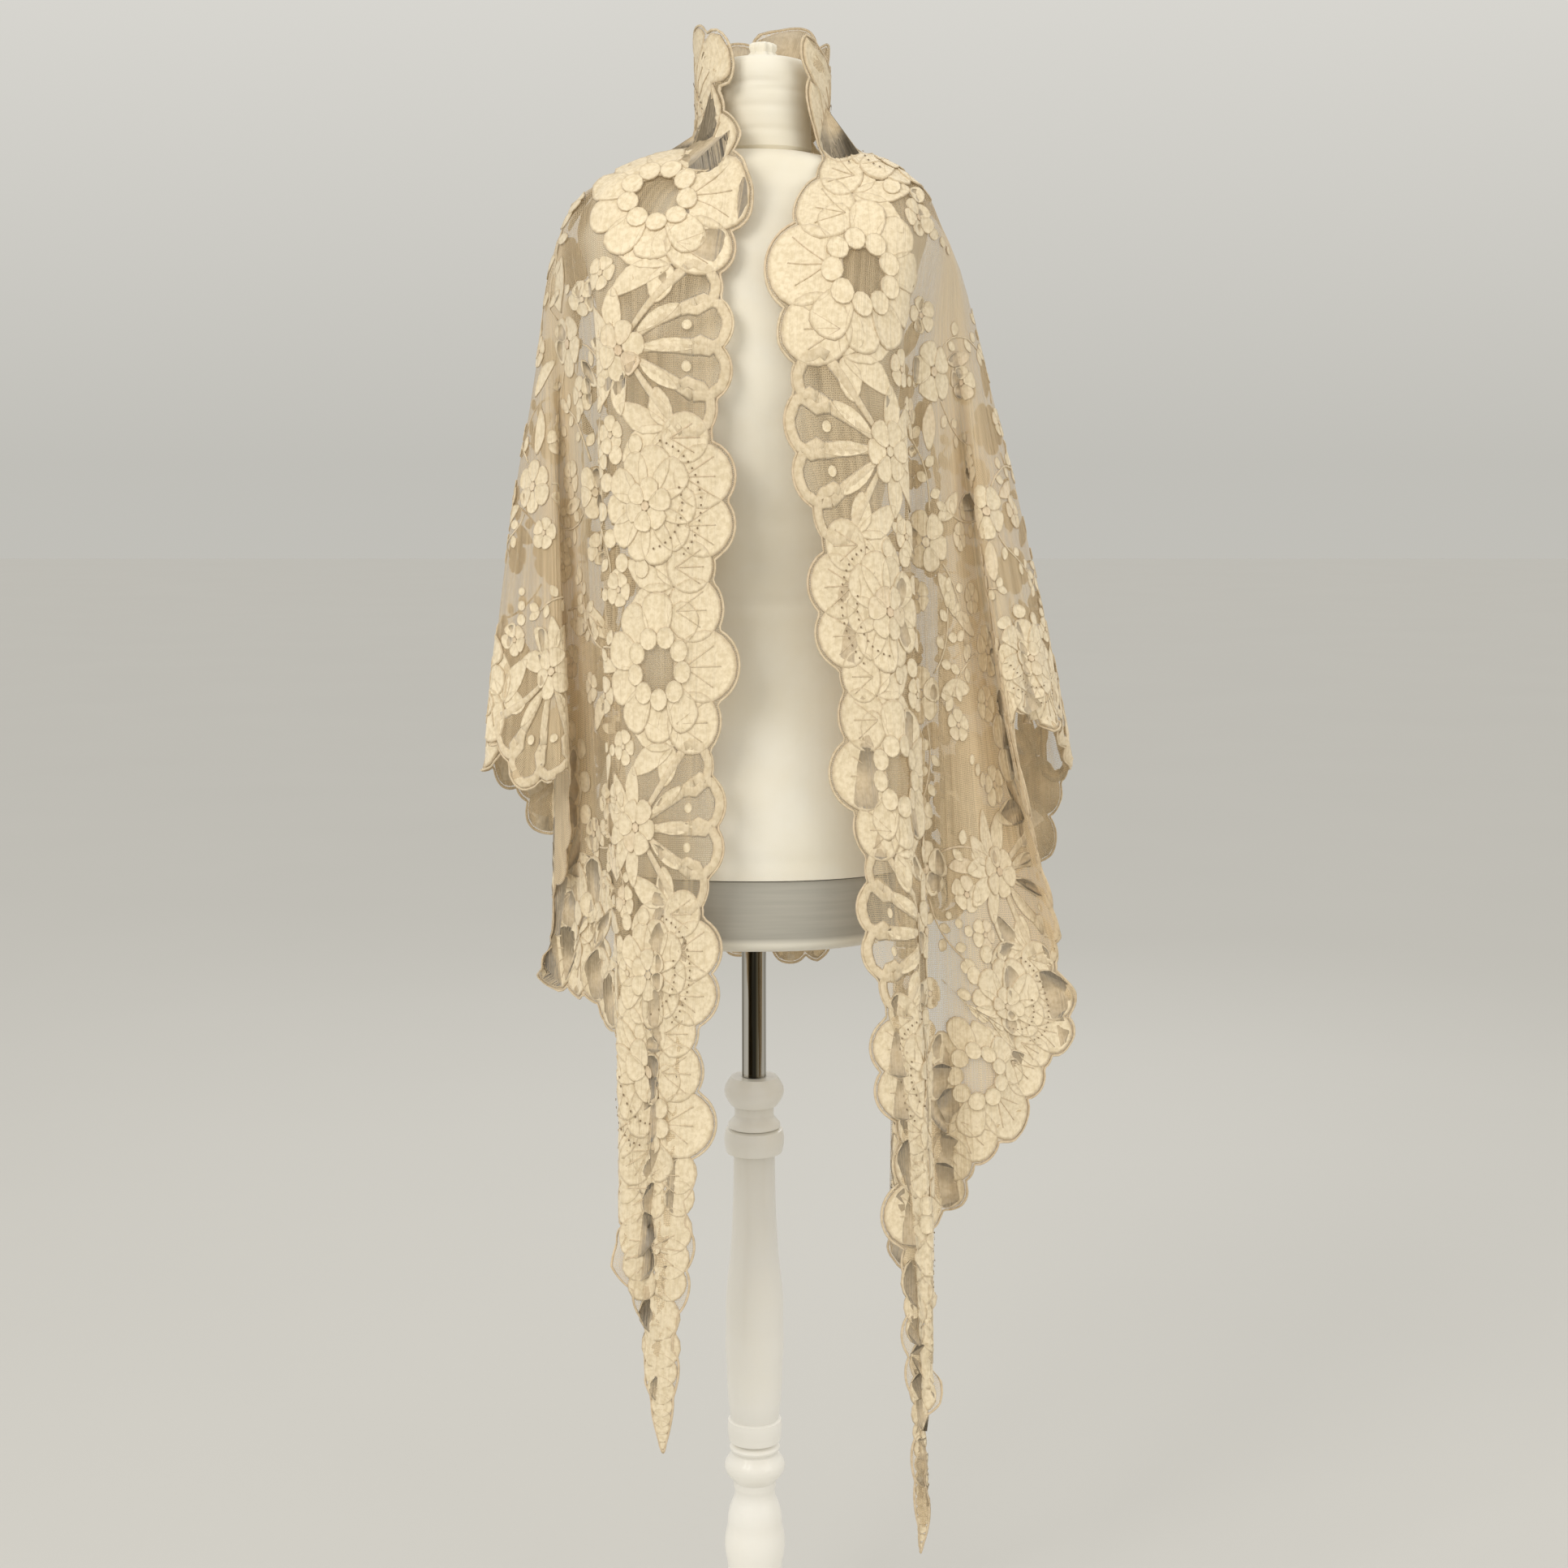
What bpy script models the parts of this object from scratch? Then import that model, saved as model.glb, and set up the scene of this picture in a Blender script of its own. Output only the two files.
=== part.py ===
"""A triangular lace shawl worn on a limbless dress form that stands on a turned column.

The shawl is one sheet of lace. Its long scalloped edge stands up round the back of the neck as a
collar and then runs down both fronts to the two tips. The sheet falls from the shoulders in pleats,
and its third corner hangs at the centre of the back. It is built as walls through sections: each
section is one line of the cloth from the long edge over the shoulder down to the hem.
Metres, +Z up, the front of the form faces -Y. The origin is on the floor under the pole.
"""

import math

import bmesh
import bpy
import numpy as np

# Cloth
WALL = 0.0016
SEAM = 0.0003
CLOTH_CLEARANCE = 0.0065
PUSHES = 14
LARGEST_PUSH = 0.004
SLOPE_STEP = 0.0001
SCALLOP_DEPTH = 0.012
HEM_SCALLOP_DEPTH = 0.007
COLLAR_SCALLOP_SHARE = 0.12
PLEAT_STEPS = 2
COLLAR_ROWS = 2
SHOULDER_ROWS = 3
CHEST_ROWS = 3
HANG_ROWS = 18
BUST_HEIGHT = 1.40
LONG_HANG = 0.70
YOKE_TURN = 0.15

# Form
NECK_CENTRE = (0.010, 0.004)
TUFT_CENTRE = (0.010, 0.010)
COVER_HEM = 0.886
COVER_THICKNESS = 0.003
FORM_BOTTOM = 0.812
BAND_ROLL = 0.010
BAND_ROLL_STEPS = 4
FORM_SIDES = 40
FORM_RING_STEP = 0.030

# Stand
POLE_RADIUS = 0.0125
COLUMN_TOP = 0.660
TURNING_STEPS = 28
SWELL_STEPS = 800
LARGEST_SWELL = 0.004

# Each fold is a line of the cloth that hangs from the shoulder. "around" is its bearing in degrees
# from the front, by which it leaves the neck and the shoulder. "bust" is its place in plan at the
# height of the bust, "hem" is where it ends, and "bow" is how far it strays from a straight line.
FOLD_COLUMNS = ("name", "around", "bust_x", "bust_y", "bow_x", "bow_y", "hem_x", "hem_y", "hem_z")
LEFT_FOLDS = (
    ("front edge", 5, -0.026, -0.153, 0.018, -0.004, -0.088, -0.140, 0.300),
    ("front panel", 20, -0.088, -0.158, 0.012, -0.008, -0.112, -0.135, 0.430),
    ("front fold", 42, -0.144, -0.120, -0.002, -0.012, -0.132, -0.124, 0.655),
    ("tuck", 56, -0.156, -0.090, 0.004, 0.000, -0.112, -0.098, 0.715),
    ("underlap", 66, -0.168, -0.075, 0.000, 0.000, -0.142, -0.078, 0.735),
    ("outer underlap", 74, -0.178, -0.056, 0.004, 0.000, -0.168, -0.048, 0.748),
    ("under fold", 81, -0.188, -0.040, 0.000, 0.004, -0.208, -0.008, 0.768),
    ("flare fold", 86, -0.198, -0.034, 0.002, -0.008, -0.182, -0.090, 0.992),
    ("flare front", 91, -0.208, -0.020, 0.000, -0.008, -0.224, -0.080, 0.978),
    ("flare", 96, -0.213, 0.000, -0.003, 0.000, -0.269, -0.028, 1.018),
    ("flare back", 103, -0.205, 0.034, -0.004, 0.004, -0.236, 0.056, 0.925),
    ("back tuck", 112, -0.184, 0.052, 0.004, 0.000, -0.172, 0.066, 0.905),
    ("back fold", 124, -0.168, 0.092, -0.004, 0.008, -0.188, 0.142, 0.870),
    ("second tuck", 138, -0.132, 0.098, 0.000, 0.000, -0.124, 0.118, 0.840),
    ("second fold", 152, -0.098, 0.120, -0.002, 0.008, -0.108, 0.178, 0.812),
    ("third tuck", 166, -0.052, 0.112, 0.000, 0.000, -0.050, 0.132, 0.785),
)
RIGHT_FOLDS = (
    ("front edge", 5, 0.026, -0.151, 0.018, 0.000, 0.176, -0.132, 0.190),
    ("front panel", 20, 0.086, -0.158, 0.018, -0.004, 0.169, -0.140, 0.330),
    ("front fold", 42, 0.142, -0.122, 0.004, -0.010, 0.180, -0.124, 0.455),
    ("tuck", 56, 0.154, -0.092, -0.004, 0.000, 0.142, -0.098, 0.520),
    ("underlap", 66, 0.168, -0.082, 0.000, -0.006, 0.196, -0.090, 0.545),
    ("outer underlap", 74, 0.182, -0.064, 0.000, -0.006, 0.246, -0.084, 0.612),
    ("under fold", 81, 0.196, -0.046, -0.010, 0.004, 0.318, -0.030, 0.708),
    ("flare fold", 86, 0.208, -0.038, -0.008, -0.012, 0.258, -0.092, 1.045),
    ("flare front", 91, 0.219, -0.022, 0.000, -0.008, 0.288, -0.068, 1.036),
    ("flare", 96, 0.227, 0.000, 0.003, 0.000, 0.317, -0.010, 1.026),
    ("flare back", 103, 0.216, 0.036, 0.006, 0.004, 0.290, 0.078, 0.870),
    ("back tuck", 112, 0.190, 0.054, -0.002, 0.000, 0.206, 0.074, 0.835),
    ("back fold", 124, 0.172, 0.094, 0.004, 0.008, 0.218, 0.146, 0.805),
    ("second tuck", 138, 0.136, 0.098, 0.000, 0.000, 0.146, 0.120, 0.800),
    ("second fold", 152, 0.102, 0.122, 0.002, 0.008, 0.124, 0.182, 0.778),
    ("third tuck", 166, 0.056, 0.114, 0.000, 0.000, 0.066, 0.134, 0.765),
)
BACK_FOLD = ("centre back", 180, 0.004, 0.128, 0.000, 0.006, 0.012, 0.184, 0.752)

# The long edge round the neck, and the line below it where the collar meets the shoulder.
COLLAR_COLUMNS = ("around", "edge_radius", "edge_height", "base_radius", "base_height")
COLLAR = (
    (5, 0.088, 1.580, 0.101, 1.558),
    (16, 0.078, 1.602, 0.098, 1.562),
    (31, 0.063, 1.655, 0.088, 1.572),
    (48, 0.059, 1.696, 0.072, 1.588),
    (75, 0.064, 1.700, 0.068, 1.598),
    (100, 0.068, 1.698, 0.065, 1.602),
    (130, 0.070, 1.702, 0.062, 1.603),
    (155, 0.076, 1.707, 0.062, 1.601),
    (180, 0.080, 1.713, 0.062, 1.598),
)

# The line over the shoulders and the chest that the cloth bends over before it hangs.
YOKE_HALF_WIDTH = 0.182
YOKE_FRONT = 0.100
YOKE_BACK = 0.088
YOKE_HEIGHT = 1.526
YOKE_RISE = 0.030
YOKE_SQUARENESS = 2.6
COLLAR_HOLLOW = 0.003
SHOULDER_RISE = 0.010
OPENING_SHIFT = 0.013
NECK_OPENING_LEFT = 16.0
NECK_OPENING_RIGHT = 48.0

# Each ring of the form: half its width, its depth in front of and behind the axis, and squareness.
FORM_COLUMNS = ("height", "half_width", "front", "back", "squareness")
FORM = (
    (0.812, 0.150, 0.112, 0.112, 2.2),
    (0.860, 0.158, 0.118, 0.120, 2.2),
    (0.910, 0.161, 0.121, 0.123, 2.2),
    (0.960, 0.157, 0.119, 0.121, 2.2),
    (1.030, 0.138, 0.108, 0.104, 2.2),
    (1.110, 0.120, 0.098, 0.086, 2.2),
    (1.160, 0.118, 0.098, 0.082, 2.2),
    (1.230, 0.126, 0.108, 0.084, 2.2),
    (1.310, 0.140, 0.128, 0.090, 2.2),
    (1.380, 0.148, 0.137, 0.096, 2.2),
    (1.430, 0.152, 0.126, 0.098, 2.3),
    (1.480, 0.164, 0.104, 0.094, 2.5),
    (1.520, 0.172, 0.084, 0.083, 2.6),
    (1.545, 0.160, 0.074, 0.072, 2.5),
    (1.565, 0.135, 0.067, 0.064, 2.3),
    (1.582, 0.100, 0.060, 0.056, 2.1),
    (1.590, 0.060, 0.051, 0.050, 2.0),
)
NECK_RINGS = (
    (1.600, 0.050, 0.047, 0.049, 2.0),
    (1.690, 0.048, 0.045, 0.049, 2.0),
)

# The turned neck block and the gathered end of its cover, from the top down: height, radius.
NECK = (
    (1.6810, 0.034),
    (1.6760, 0.043),
    (1.6650, 0.047),
    (1.5945, 0.048),
    (1.5905, 0.045),
)
TUFT = (
    (1.6990, 0.007),
    (1.6950, 0.013),
    (1.6890, 0.012),
    (1.6813, 0.017),
)

# The turned column from its top down: height, radius, and how far the run that follows swells.
COLUMN = (
    (0.6600, 0.0140, 0.000),
    (0.6600, 0.0240, 0.007),
    (0.6300, 0.0240, 0.000),
    (0.6290, 0.0205, 0.000),
    (0.6230, 0.0205, -0.002),
    (0.6130, 0.0250, 0.001),
    (0.6070, 0.0270, 0.000),
    (0.6055, 0.0240, 0.000),
    (0.6040, 0.0295, 0.002),
    (0.5800, 0.0290, 0.000),
    (0.5780, 0.0215, -0.001),
    (0.4650, 0.0255, 0.002),
    (0.3900, 0.0300, 0.001),
    (0.3500, 0.0295, 0.001),
    (0.2900, 0.0255, 0.000),
    (0.2885, 0.0280, 0.001),
    (0.2660, 0.0270, 0.000),
    (0.2650, 0.0210, 0.000),
    (0.2630, 0.0210, 0.004),
    (0.2540, 0.0240, 0.000),
    (0.2520, 0.0240, 0.008),
    (0.2230, 0.0240, 0.000),
    (0.2210, 0.0225, 0.000),
    (0.2150, 0.0225, -0.001),
    (0.2030, 0.0220, 0.002),
    (0.1720, 0.0290, 0.003),
    (0.1300, 0.0290, 0.001),
    (0.0900, 0.0240, -0.003),
    (0.0600, 0.0300, 0.000),
    (0.0580, 0.0380, 0.003),
    (0.0343, 0.0400, 0.000),
)

# The plain round base from its top down: height, radius.
BASE = (
    (0.0340, 0.052),
    (0.0320, 0.060),
    (0.0260, 0.068),
    (0.0240, 0.100),
    (0.0210, 0.145),
    (0.0206, 0.153),
    (0.0193, 0.157),
    (0.0173, 0.160),
    (0.0148, 0.163),
    (0.0120, 0.165),
    (0.0030, 0.165),
    (0.0000, 0.162),
)


def make_collection(name):
    """A collection of the scene."""
    collection = bpy.data.collections.new(name)
    bpy.context.scene.collection.children.link(collection)
    return collection


def make_material(name, colour, roughness, metallic=0.0):
    """A Principled material in one colour."""
    material = bpy.data.materials.new(name)
    material.use_nodes = True
    shader = material.node_tree.nodes["Principled BSDF"]
    shader.inputs["Base Color"].default_value = (*colour, 1.0)
    shader.inputs["Roughness"].default_value = roughness
    shader.inputs["Metallic"].default_value = metallic
    return material


def add_mesh(name, points, faces, material, collection, sharp_degrees=40.0):
    """An object from points and faces, with its faces turned outwards and shaded smooth."""
    mesh = bpy.data.meshes.new(name)
    mesh.from_pydata([tuple(map(float, point)) for point in points], [], faces)
    work = bmesh.new()
    work.from_mesh(mesh)
    bmesh.ops.recalc_face_normals(work, faces=work.faces)
    work.to_mesh(mesh)
    work.free()
    mesh.shade_smooth()
    mesh.set_sharp_from_angle(angle=math.radians(sharp_degrees))
    mesh.materials.append(material)
    part = bpy.data.objects.new(name, mesh)
    collection.objects.link(part)
    return part


def table(rows, columns):
    """The numbers of a table as one array for each column name."""
    numeric = [index for index, name in enumerate(columns) if name != "name"]
    values = np.array([[row[index] for index in numeric] for row in rows], float)
    return {columns[index]: values[:, place] for place, index in enumerate(numeric)}


def curve_through(knots, places, wanted):
    """Cubic curve through places at the rising knots, read at the wanted knots."""
    steps = np.diff(knots)
    slopes = np.diff(places, axis=0) / steps[:, None]
    tangents = np.empty_like(places)
    tangents[0] = slopes[0]
    tangents[-1] = slopes[-1]
    before = steps[:-1, None]
    after = steps[1:, None]
    tangents[1:-1] = (slopes[:-1] * after + slopes[1:] * before) / (before + after)
    index = np.clip(np.searchsorted(knots, wanted, side="right") - 1, 0, len(steps) - 1)
    step = steps[index][:, None]
    part = (wanted - knots[index])[:, None] / step
    start = (1 + 2 * part) * (1 - part) ** 2 * places[index]
    start = start + part * (1 - part) ** 2 * step * tangents[index]
    end = part**2 * (3 - 2 * part) * places[index + 1]
    return start + end - part**2 * (1 - part) * step * tangents[index + 1]


def form_level(places):
    """How far each place is outside the form's surface, as a share of the ring's own size."""
    rings = table(FORM + NECK_RINGS, FORM_COLUMNS)
    height = places[:, 2]
    width = np.interp(height, rings["height"], rings["half_width"])
    front = np.interp(height, rings["height"], rings["front"])
    back = np.interp(height, rings["height"], rings["back"])
    power = np.interp(height, rings["height"], rings["squareness"])
    depth = np.where(places[:, 1] < 0, front, back)
    reach = np.abs(places[:, 0] / width) ** power + np.abs(places[:, 1] / depth) ** power
    return reach ** (1 / power) - 1


def clear_of_form(places, clearance, passes=PUSHES):
    """The places, moved straight out of the form where they are nearer to it than the clearance."""
    places = places.copy()
    for _ in range(passes):
        level = form_level(places)
        slope = np.empty_like(places)
        for axis in range(3):
            moved = places.copy()
            moved[:, axis] += SLOPE_STEP
            slope[:, axis] = (form_level(moved) - level) / SLOPE_STEP
        steepness = np.linalg.norm(slope, axis=1)
        distance = level / steepness
        short = np.clip(clearance - distance, 0, LARGEST_PUSH)
        places += slope / steepness[:, None] * short[:, None]
    return places


def fold_controls(side, folds):
    """The control places of every fold of one side: collar edge, collar, base, shoulder, yoke, bust."""
    collar = table(COLLAR, COLLAR_COLUMNS)
    around = folds["around"]
    bearing = np.radians(around)
    opening = NECK_OPENING_LEFT if side < 0 else NECK_OPENING_RIGHT
    share = (around - around[0]) / (around[-1] - around[0])
    round_neck = opening + (180 - opening) * share
    reading = {
        name: np.interp(round_neck, collar["around"], collar[name]) for name in COLLAR_COLUMNS[1:]
    }

    def on_ring(radius, height):
        turn = np.radians(round_neck)
        across = side * radius * np.sin(turn) + NECK_CENTRE[0]
        along = -radius * np.cos(turn) + NECK_CENTRE[1]
        return np.stack([across, along, height], axis=1)

    edge = on_ring(reading["edge_radius"], reading["edge_height"])
    base = on_ring(reading["base_radius"], reading["base_height"])
    middle_radius = (reading["edge_radius"] + reading["base_radius"]) / 2 - COLLAR_HOLLOW * share
    middle = on_ring(middle_radius, (reading["edge_height"] + reading["base_height"]) / 2)
    power = 2 / YOKE_SQUARENESS
    depth = np.where(around < 90, YOKE_FRONT, YOKE_BACK)
    across = side * YOKE_HALF_WIDTH * np.sin(bearing) ** power
    along = -depth * np.sign(np.cos(bearing)) * np.abs(np.cos(bearing)) ** power
    rise = YOKE_RISE * np.sin(2 * bearing) ** 2
    yoke = np.stack([across, along, YOKE_HEIGHT + rise], axis=1)
    yoke[:, 0] += OPENING_SHIFT * np.cos(bearing) ** 2
    shoulder = (base + yoke) / 2
    shoulder[:, 2] += SHOULDER_RISE * np.sin(bearing)
    bust = np.stack([folds["bust_x"], folds["bust_y"], np.full(len(around), BUST_HEIGHT)], axis=1)
    return [edge, middle, base, shoulder, yoke, bust]


def fold_lines(side, rows_table):
    """The places of one side's folds, [fold, row, xyz], from the long edge down to the hem."""
    folds = table(rows_table, FOLD_COLUMNS)
    controls = fold_controls(side, folds)
    counts = (1, COLLAR_ROWS - 1, SHOULDER_ROWS - 1, 1, CHEST_ROWS)
    lines = []
    for index in range(len(rows_table)):
        places = np.array([control[index] for control in controls])
        hem = np.array([folds[name][index] for name in ("hem_x", "hem_y", "hem_z")])
        bow = np.array([folds["bow_x"][index], folds["bow_y"][index], 0.0])
        knots = np.concatenate([[0], np.cumsum(np.linalg.norm(np.diff(places, axis=0), axis=1))])
        onward = places[-1] + (hem - places[-1]) * YOKE_TURN
        knots = np.append(knots, knots[-1] + np.linalg.norm(onward - places[-1]))
        places = np.vstack([places, onward])
        wanted = [np.linspace(knots[n], knots[n + 1], counts[n] + 1)[:-1] for n in range(len(counts))]
        upper = curve_through(knots, places, np.concatenate(wanted))
        crowding = np.clip(LONG_HANG / (BUST_HEIGHT - hem[2]), 1, 2)
        share = 1 - (1 - np.linspace(0, 1, HANG_ROWS + 1)[:, None]) ** crowding
        lower = places[-2] + (hem - places[-2]) * share + 4 * share * (1 - share) * bow
        lines.append(np.vstack([upper, lower]))
    return np.array(lines)


def across_folds(places):
    """One row of the sheet: a smooth curve through its folds, with no loop where the cloth turns back."""
    knots = np.concatenate([[0], np.cumsum(np.sqrt(np.linalg.norm(np.diff(places, axis=0), axis=1)))])
    shares = np.arange(PLEAT_STEPS) / PLEAT_STEPS
    wanted = knots[:-1, None] + np.diff(knots)[:, None] * shares
    return curve_through(knots, places, np.append(wanted.ravel(), knots[-1]))


def shawl_surface():
    """The places of the whole sheet, [column, row, xyz], from the left front edge to the right."""
    left = fold_lines(-1, (*LEFT_FOLDS, BACK_FOLD))
    right = fold_lines(1, (*RIGHT_FOLDS, BACK_FOLD))
    left[-1] = right[-1] = (left[-1] + right[-1]) / 2
    folds = np.concatenate([left, right[-2::-1]])
    sheet = np.stack([across_folds(folds[:, row]) for row in range(folds.shape[1])], axis=1)
    sheet = clear_of_form(sheet.reshape(-1, 3), CLOTH_CLEARANCE).reshape(sheet.shape)
    rows = sheet.shape[1]
    bump = SCALLOP_DEPTH * (np.arange(rows) % 2)
    for edge, inner in ((0, 1), (-1, -2)):
        outward = sheet[edge] - sheet[inner]
        outward /= np.linalg.norm(outward, axis=1)[:, None]
        sheet[edge, COLLAR_ROWS:] += outward[COLLAR_ROWS:] * bump[COLLAR_ROWS:, None]
    outward = sheet[1:-1, -1] - sheet[1:-1, -2]
    outward /= np.linalg.norm(outward, axis=1)[:, None]
    sheet[1:-1, -1] += outward * (HEM_SCALLOP_DEPTH * (np.arange(len(outward)) % 2))[:, None]
    upward = sheet[1:-1, 0] - sheet[1:-1, 1]
    upward /= np.linalg.norm(upward, axis=1)[:, None]
    stand = np.linalg.norm(sheet[1:-1, 0] - sheet[1:-1, COLLAR_ROWS], axis=1)
    lift = np.minimum(HEM_SCALLOP_DEPTH, stand * COLLAR_SCALLOP_SHARE) * (np.arange(len(upward)) % 2)
    sheet[1:-1, 0] += upward * lift[:, None]
    return sheet


def sheet_normals(sheet):
    """The unit normal at each place of the sheet, midway between those of the panels round it."""
    facing = np.cross(sheet[1:, 1:] - sheet[:-1, :-1], sheet[:-1, 1:] - sheet[1:, :-1])
    facing /= np.linalg.norm(facing, axis=2)[..., None]
    normals = np.zeros_like(sheet)
    for columns in (slice(None, -1), slice(1, None)):
        for rows in (slice(None, -1), slice(1, None)):
            normals[columns, rows] += facing
    return normals / np.linalg.norm(normals, axis=2)[..., None]


def draw_in(patch, axis, ends):
    """The patch with an edge that meets another stretch drawn back by half the seam gap."""
    patch = np.moveaxis(patch.copy(), axis, 0)
    for edge, inner in ends:
        inward = patch[inner] - patch[edge]
        patch[edge] += inward / np.linalg.norm(inward, axis=1)[:, None] * SEAM / 2
    return np.moveaxis(patch, 0, axis)


def add_wall(name, sheet, normals, columns, rows, material, collection):
    """One stretch of the sheet as a closed wall between its columns and rows."""
    last_column = sheet.shape[0] - 1
    last_row = sheet.shape[1] - 1
    patch = sheet[columns[0] : columns[1] + 1, rows[0] : rows[1] + 1]
    facing = normals[columns[0] : columns[1] + 1, rows[0] : rows[1] + 1]
    column_ends = [(0, 1)] * (columns[0] > 0) + [(-1, -2)] * (columns[1] < last_column)
    row_ends = [(0, 1)] * (rows[0] > 0) + [(-1, -2)] * (rows[1] < last_row)
    patch = draw_in(patch, 0, column_ends)
    patch = draw_in(patch, 1, row_ends)
    across, down = patch.shape[:2]
    outer = (patch + facing * WALL / 2).reshape(-1, 3)
    inner = (patch - facing * WALL / 2).reshape(-1, 3)
    behind = across * down
    falling = np.linalg.norm(patch[:-1, :-1] - patch[1:, 1:], axis=2)
    rising = np.linalg.norm(patch[:-1, 1:] - patch[1:, :-1], axis=2)
    faces = []
    for column in range(across - 1):
        for row in range(down - 1):
            corner = column * down + row
            quad = (corner, corner + down, corner + down + 1, corner + 1)
            if falling[column, row] > rising[column, row]:
                quad = (*quad[1:], quad[0])
            for triangle in (quad[:3], (quad[0], *quad[2:])):
                faces.append(triangle)
                faces.append(tuple(behind + index for index in reversed(triangle)))
    rim = list(range(down))
    rim += [column * down + down - 1 for column in range(1, across)]
    rim += [(across - 1) * down + row for row in range(down - 2, -1, -1)]
    rim += [column * down for column in range(across - 2, 0, -1)]
    for here, after in zip(rim, rim[1:] + rim[:1]):
        low, high = sorted((here, after))
        faces.append((low, high, behind + high))
        faces.append((low, behind + high, behind + low))
    return add_mesh(name, np.vstack([outer, inner]), faces, material, collection)


def build_shawl(material, collection):
    """The sheet, in the stretches that show: collar, back, side flares, fronts and tails."""
    sheet = shawl_surface()
    normals = sheet_normals(sheet)
    width = sheet.shape[0] - 1
    length = sheet.shape[1] - 1
    flare = 6 * PLEAT_STEPS + 1
    back = 11 * PLEAT_STEPS - 1
    tail = length - HANG_ROWS // 3
    stretches = (
        ("shawl_collar", (0, width), (0, COLLAR_ROWS)),
        ("shawl_front_left", (0, flare), (COLLAR_ROWS, tail)),
        ("shawl_tail_left", (0, flare), (tail, length)),
        ("shawl_side_left", (flare, back), (COLLAR_ROWS, length)),
        ("shawl_back", (back, width - back), (COLLAR_ROWS, length)),
        ("shawl_side_right", (width - back, width - flare), (COLLAR_ROWS, length)),
        ("shawl_front_right", (width - flare, width), (COLLAR_ROWS, tail)),
        ("shawl_tail_right", (width - flare, width), (tail, length)),
    )
    for name, columns, rows in stretches:
        add_wall(name, sheet, normals, columns, rows, material, collection)


def form_ring(height, shrink=0.0):
    """The places round the form at one height."""
    rings = table(FORM, FORM_COLUMNS)
    sizes = [np.interp(height, rings["height"], rings[name]) for name in FORM_COLUMNS[1:]]
    half_width, front, back, squareness = sizes
    turn = np.linspace(0, 2 * np.pi, FORM_SIDES, endpoint=False)
    power = 2 / squareness
    across = (half_width - shrink) * np.sign(np.sin(turn)) * np.abs(np.sin(turn)) ** power
    depth = np.where(np.cos(turn) > 0, front, back) - shrink
    along = -depth * np.sign(np.cos(turn)) * np.abs(np.cos(turn)) ** power
    return np.stack([across, along, np.full(FORM_SIDES, height)], axis=1)


def add_loft(name, rings, material, collection):
    """A closed solid through rings that all have the same number of places."""
    sides = len(rings[0])
    faces = [tuple(range(sides))]
    for ring in range(len(rings) - 1):
        for place in range(sides):
            after = (place + 1) % sides
            low = ring * sides
            faces.append((low + place, low + after, low + sides + after, low + sides + place))
    top = (len(rings) - 1) * sides
    faces.append(tuple(reversed(range(top, top + sides))))
    return add_mesh(name, np.vstack(rings), faces, material, collection)


def build_form(jersey, band, collection):
    """The covered torso, the bare band below its cover, the neck block and the gathered tuft."""
    steps = int((FORM[-1][0] - COVER_HEM) / FORM_RING_STEP)
    heights = np.linspace(COVER_HEM, FORM[-1][0], steps + 1)
    rings = [form_ring(height) for height in heights]
    rings.insert(0, form_ring(COVER_HEM, COVER_THICKNESS + SEAM) - (0, 0, COVER_THICKNESS / 3))
    add_loft("form_torso", rings, jersey, collection)
    lower = [form_ring(FORM_BOTTOM, COVER_THICKNESS + 2 * BAND_ROLL)]
    for turn in np.linspace(0, math.pi / 2, BAND_ROLL_STEPS):
        ring = form_ring(FORM_BOTTOM, COVER_THICKNESS + BAND_ROLL * (1 - math.sin(turn)))
        lower.append(ring + (0, 0, BAND_ROLL * (1 - math.cos(turn))))
    lower.append(form_ring(COVER_HEM - COVER_THICKNESS / 3 - SEAM, COVER_THICKNESS))
    add_loft("form_band", lower, band, collection)
    add_turning("form_neck", NECK, jersey, collection, NECK_CENTRE)
    add_turning("form_tuft", TUFT, jersey, collection, TUFT_CENTRE)


def add_turning(name, profile, material, collection, centre=(0.0, 0.0)):
    """A turned solid from (height, radius) down its outer side, closed on the axis at both ends."""
    outline = [(profile[0][0], 0.0), *profile, (profile[-1][0], 0.0)]
    mesh = bpy.data.meshes.new(name)
    points = [(radius, 0.0, height) for height, radius in outline]
    mesh.from_pydata(points, [(index, index + 1) for index in range(len(points) - 1)], [])
    mesh.materials.append(material)
    part = bpy.data.objects.new(name, mesh)
    part.location = (*centre, 0.0)
    collection.objects.link(part)
    turning = part.modifiers.new("Turning", "SCREW")
    turning.steps = TURNING_STEPS
    turning.render_steps = TURNING_STEPS
    turning.use_merge_vertices = True
    turning.merge_threshold = 0.00005
    turning.use_smooth_shade = True
    return part


def column_profile():
    """The (height, radius) places of the turned column, with each swelling run as an arc."""
    profile = []
    for (height, radius, bulge), (next_height, next_radius, _) in zip(COLUMN, COLUMN[1:]):
        steps = 1 + math.ceil(min(abs(bulge), LARGEST_SWELL) * SWELL_STEPS)
        for step in range(steps):
            share = step / steps
            swell = bulge * math.sin(math.pi * share)
            profile.append(
                (height + (next_height - height) * share, radius + (next_radius - radius) * share + swell)
            )
    profile.append(COLUMN[-1][:2])
    return profile


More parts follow.
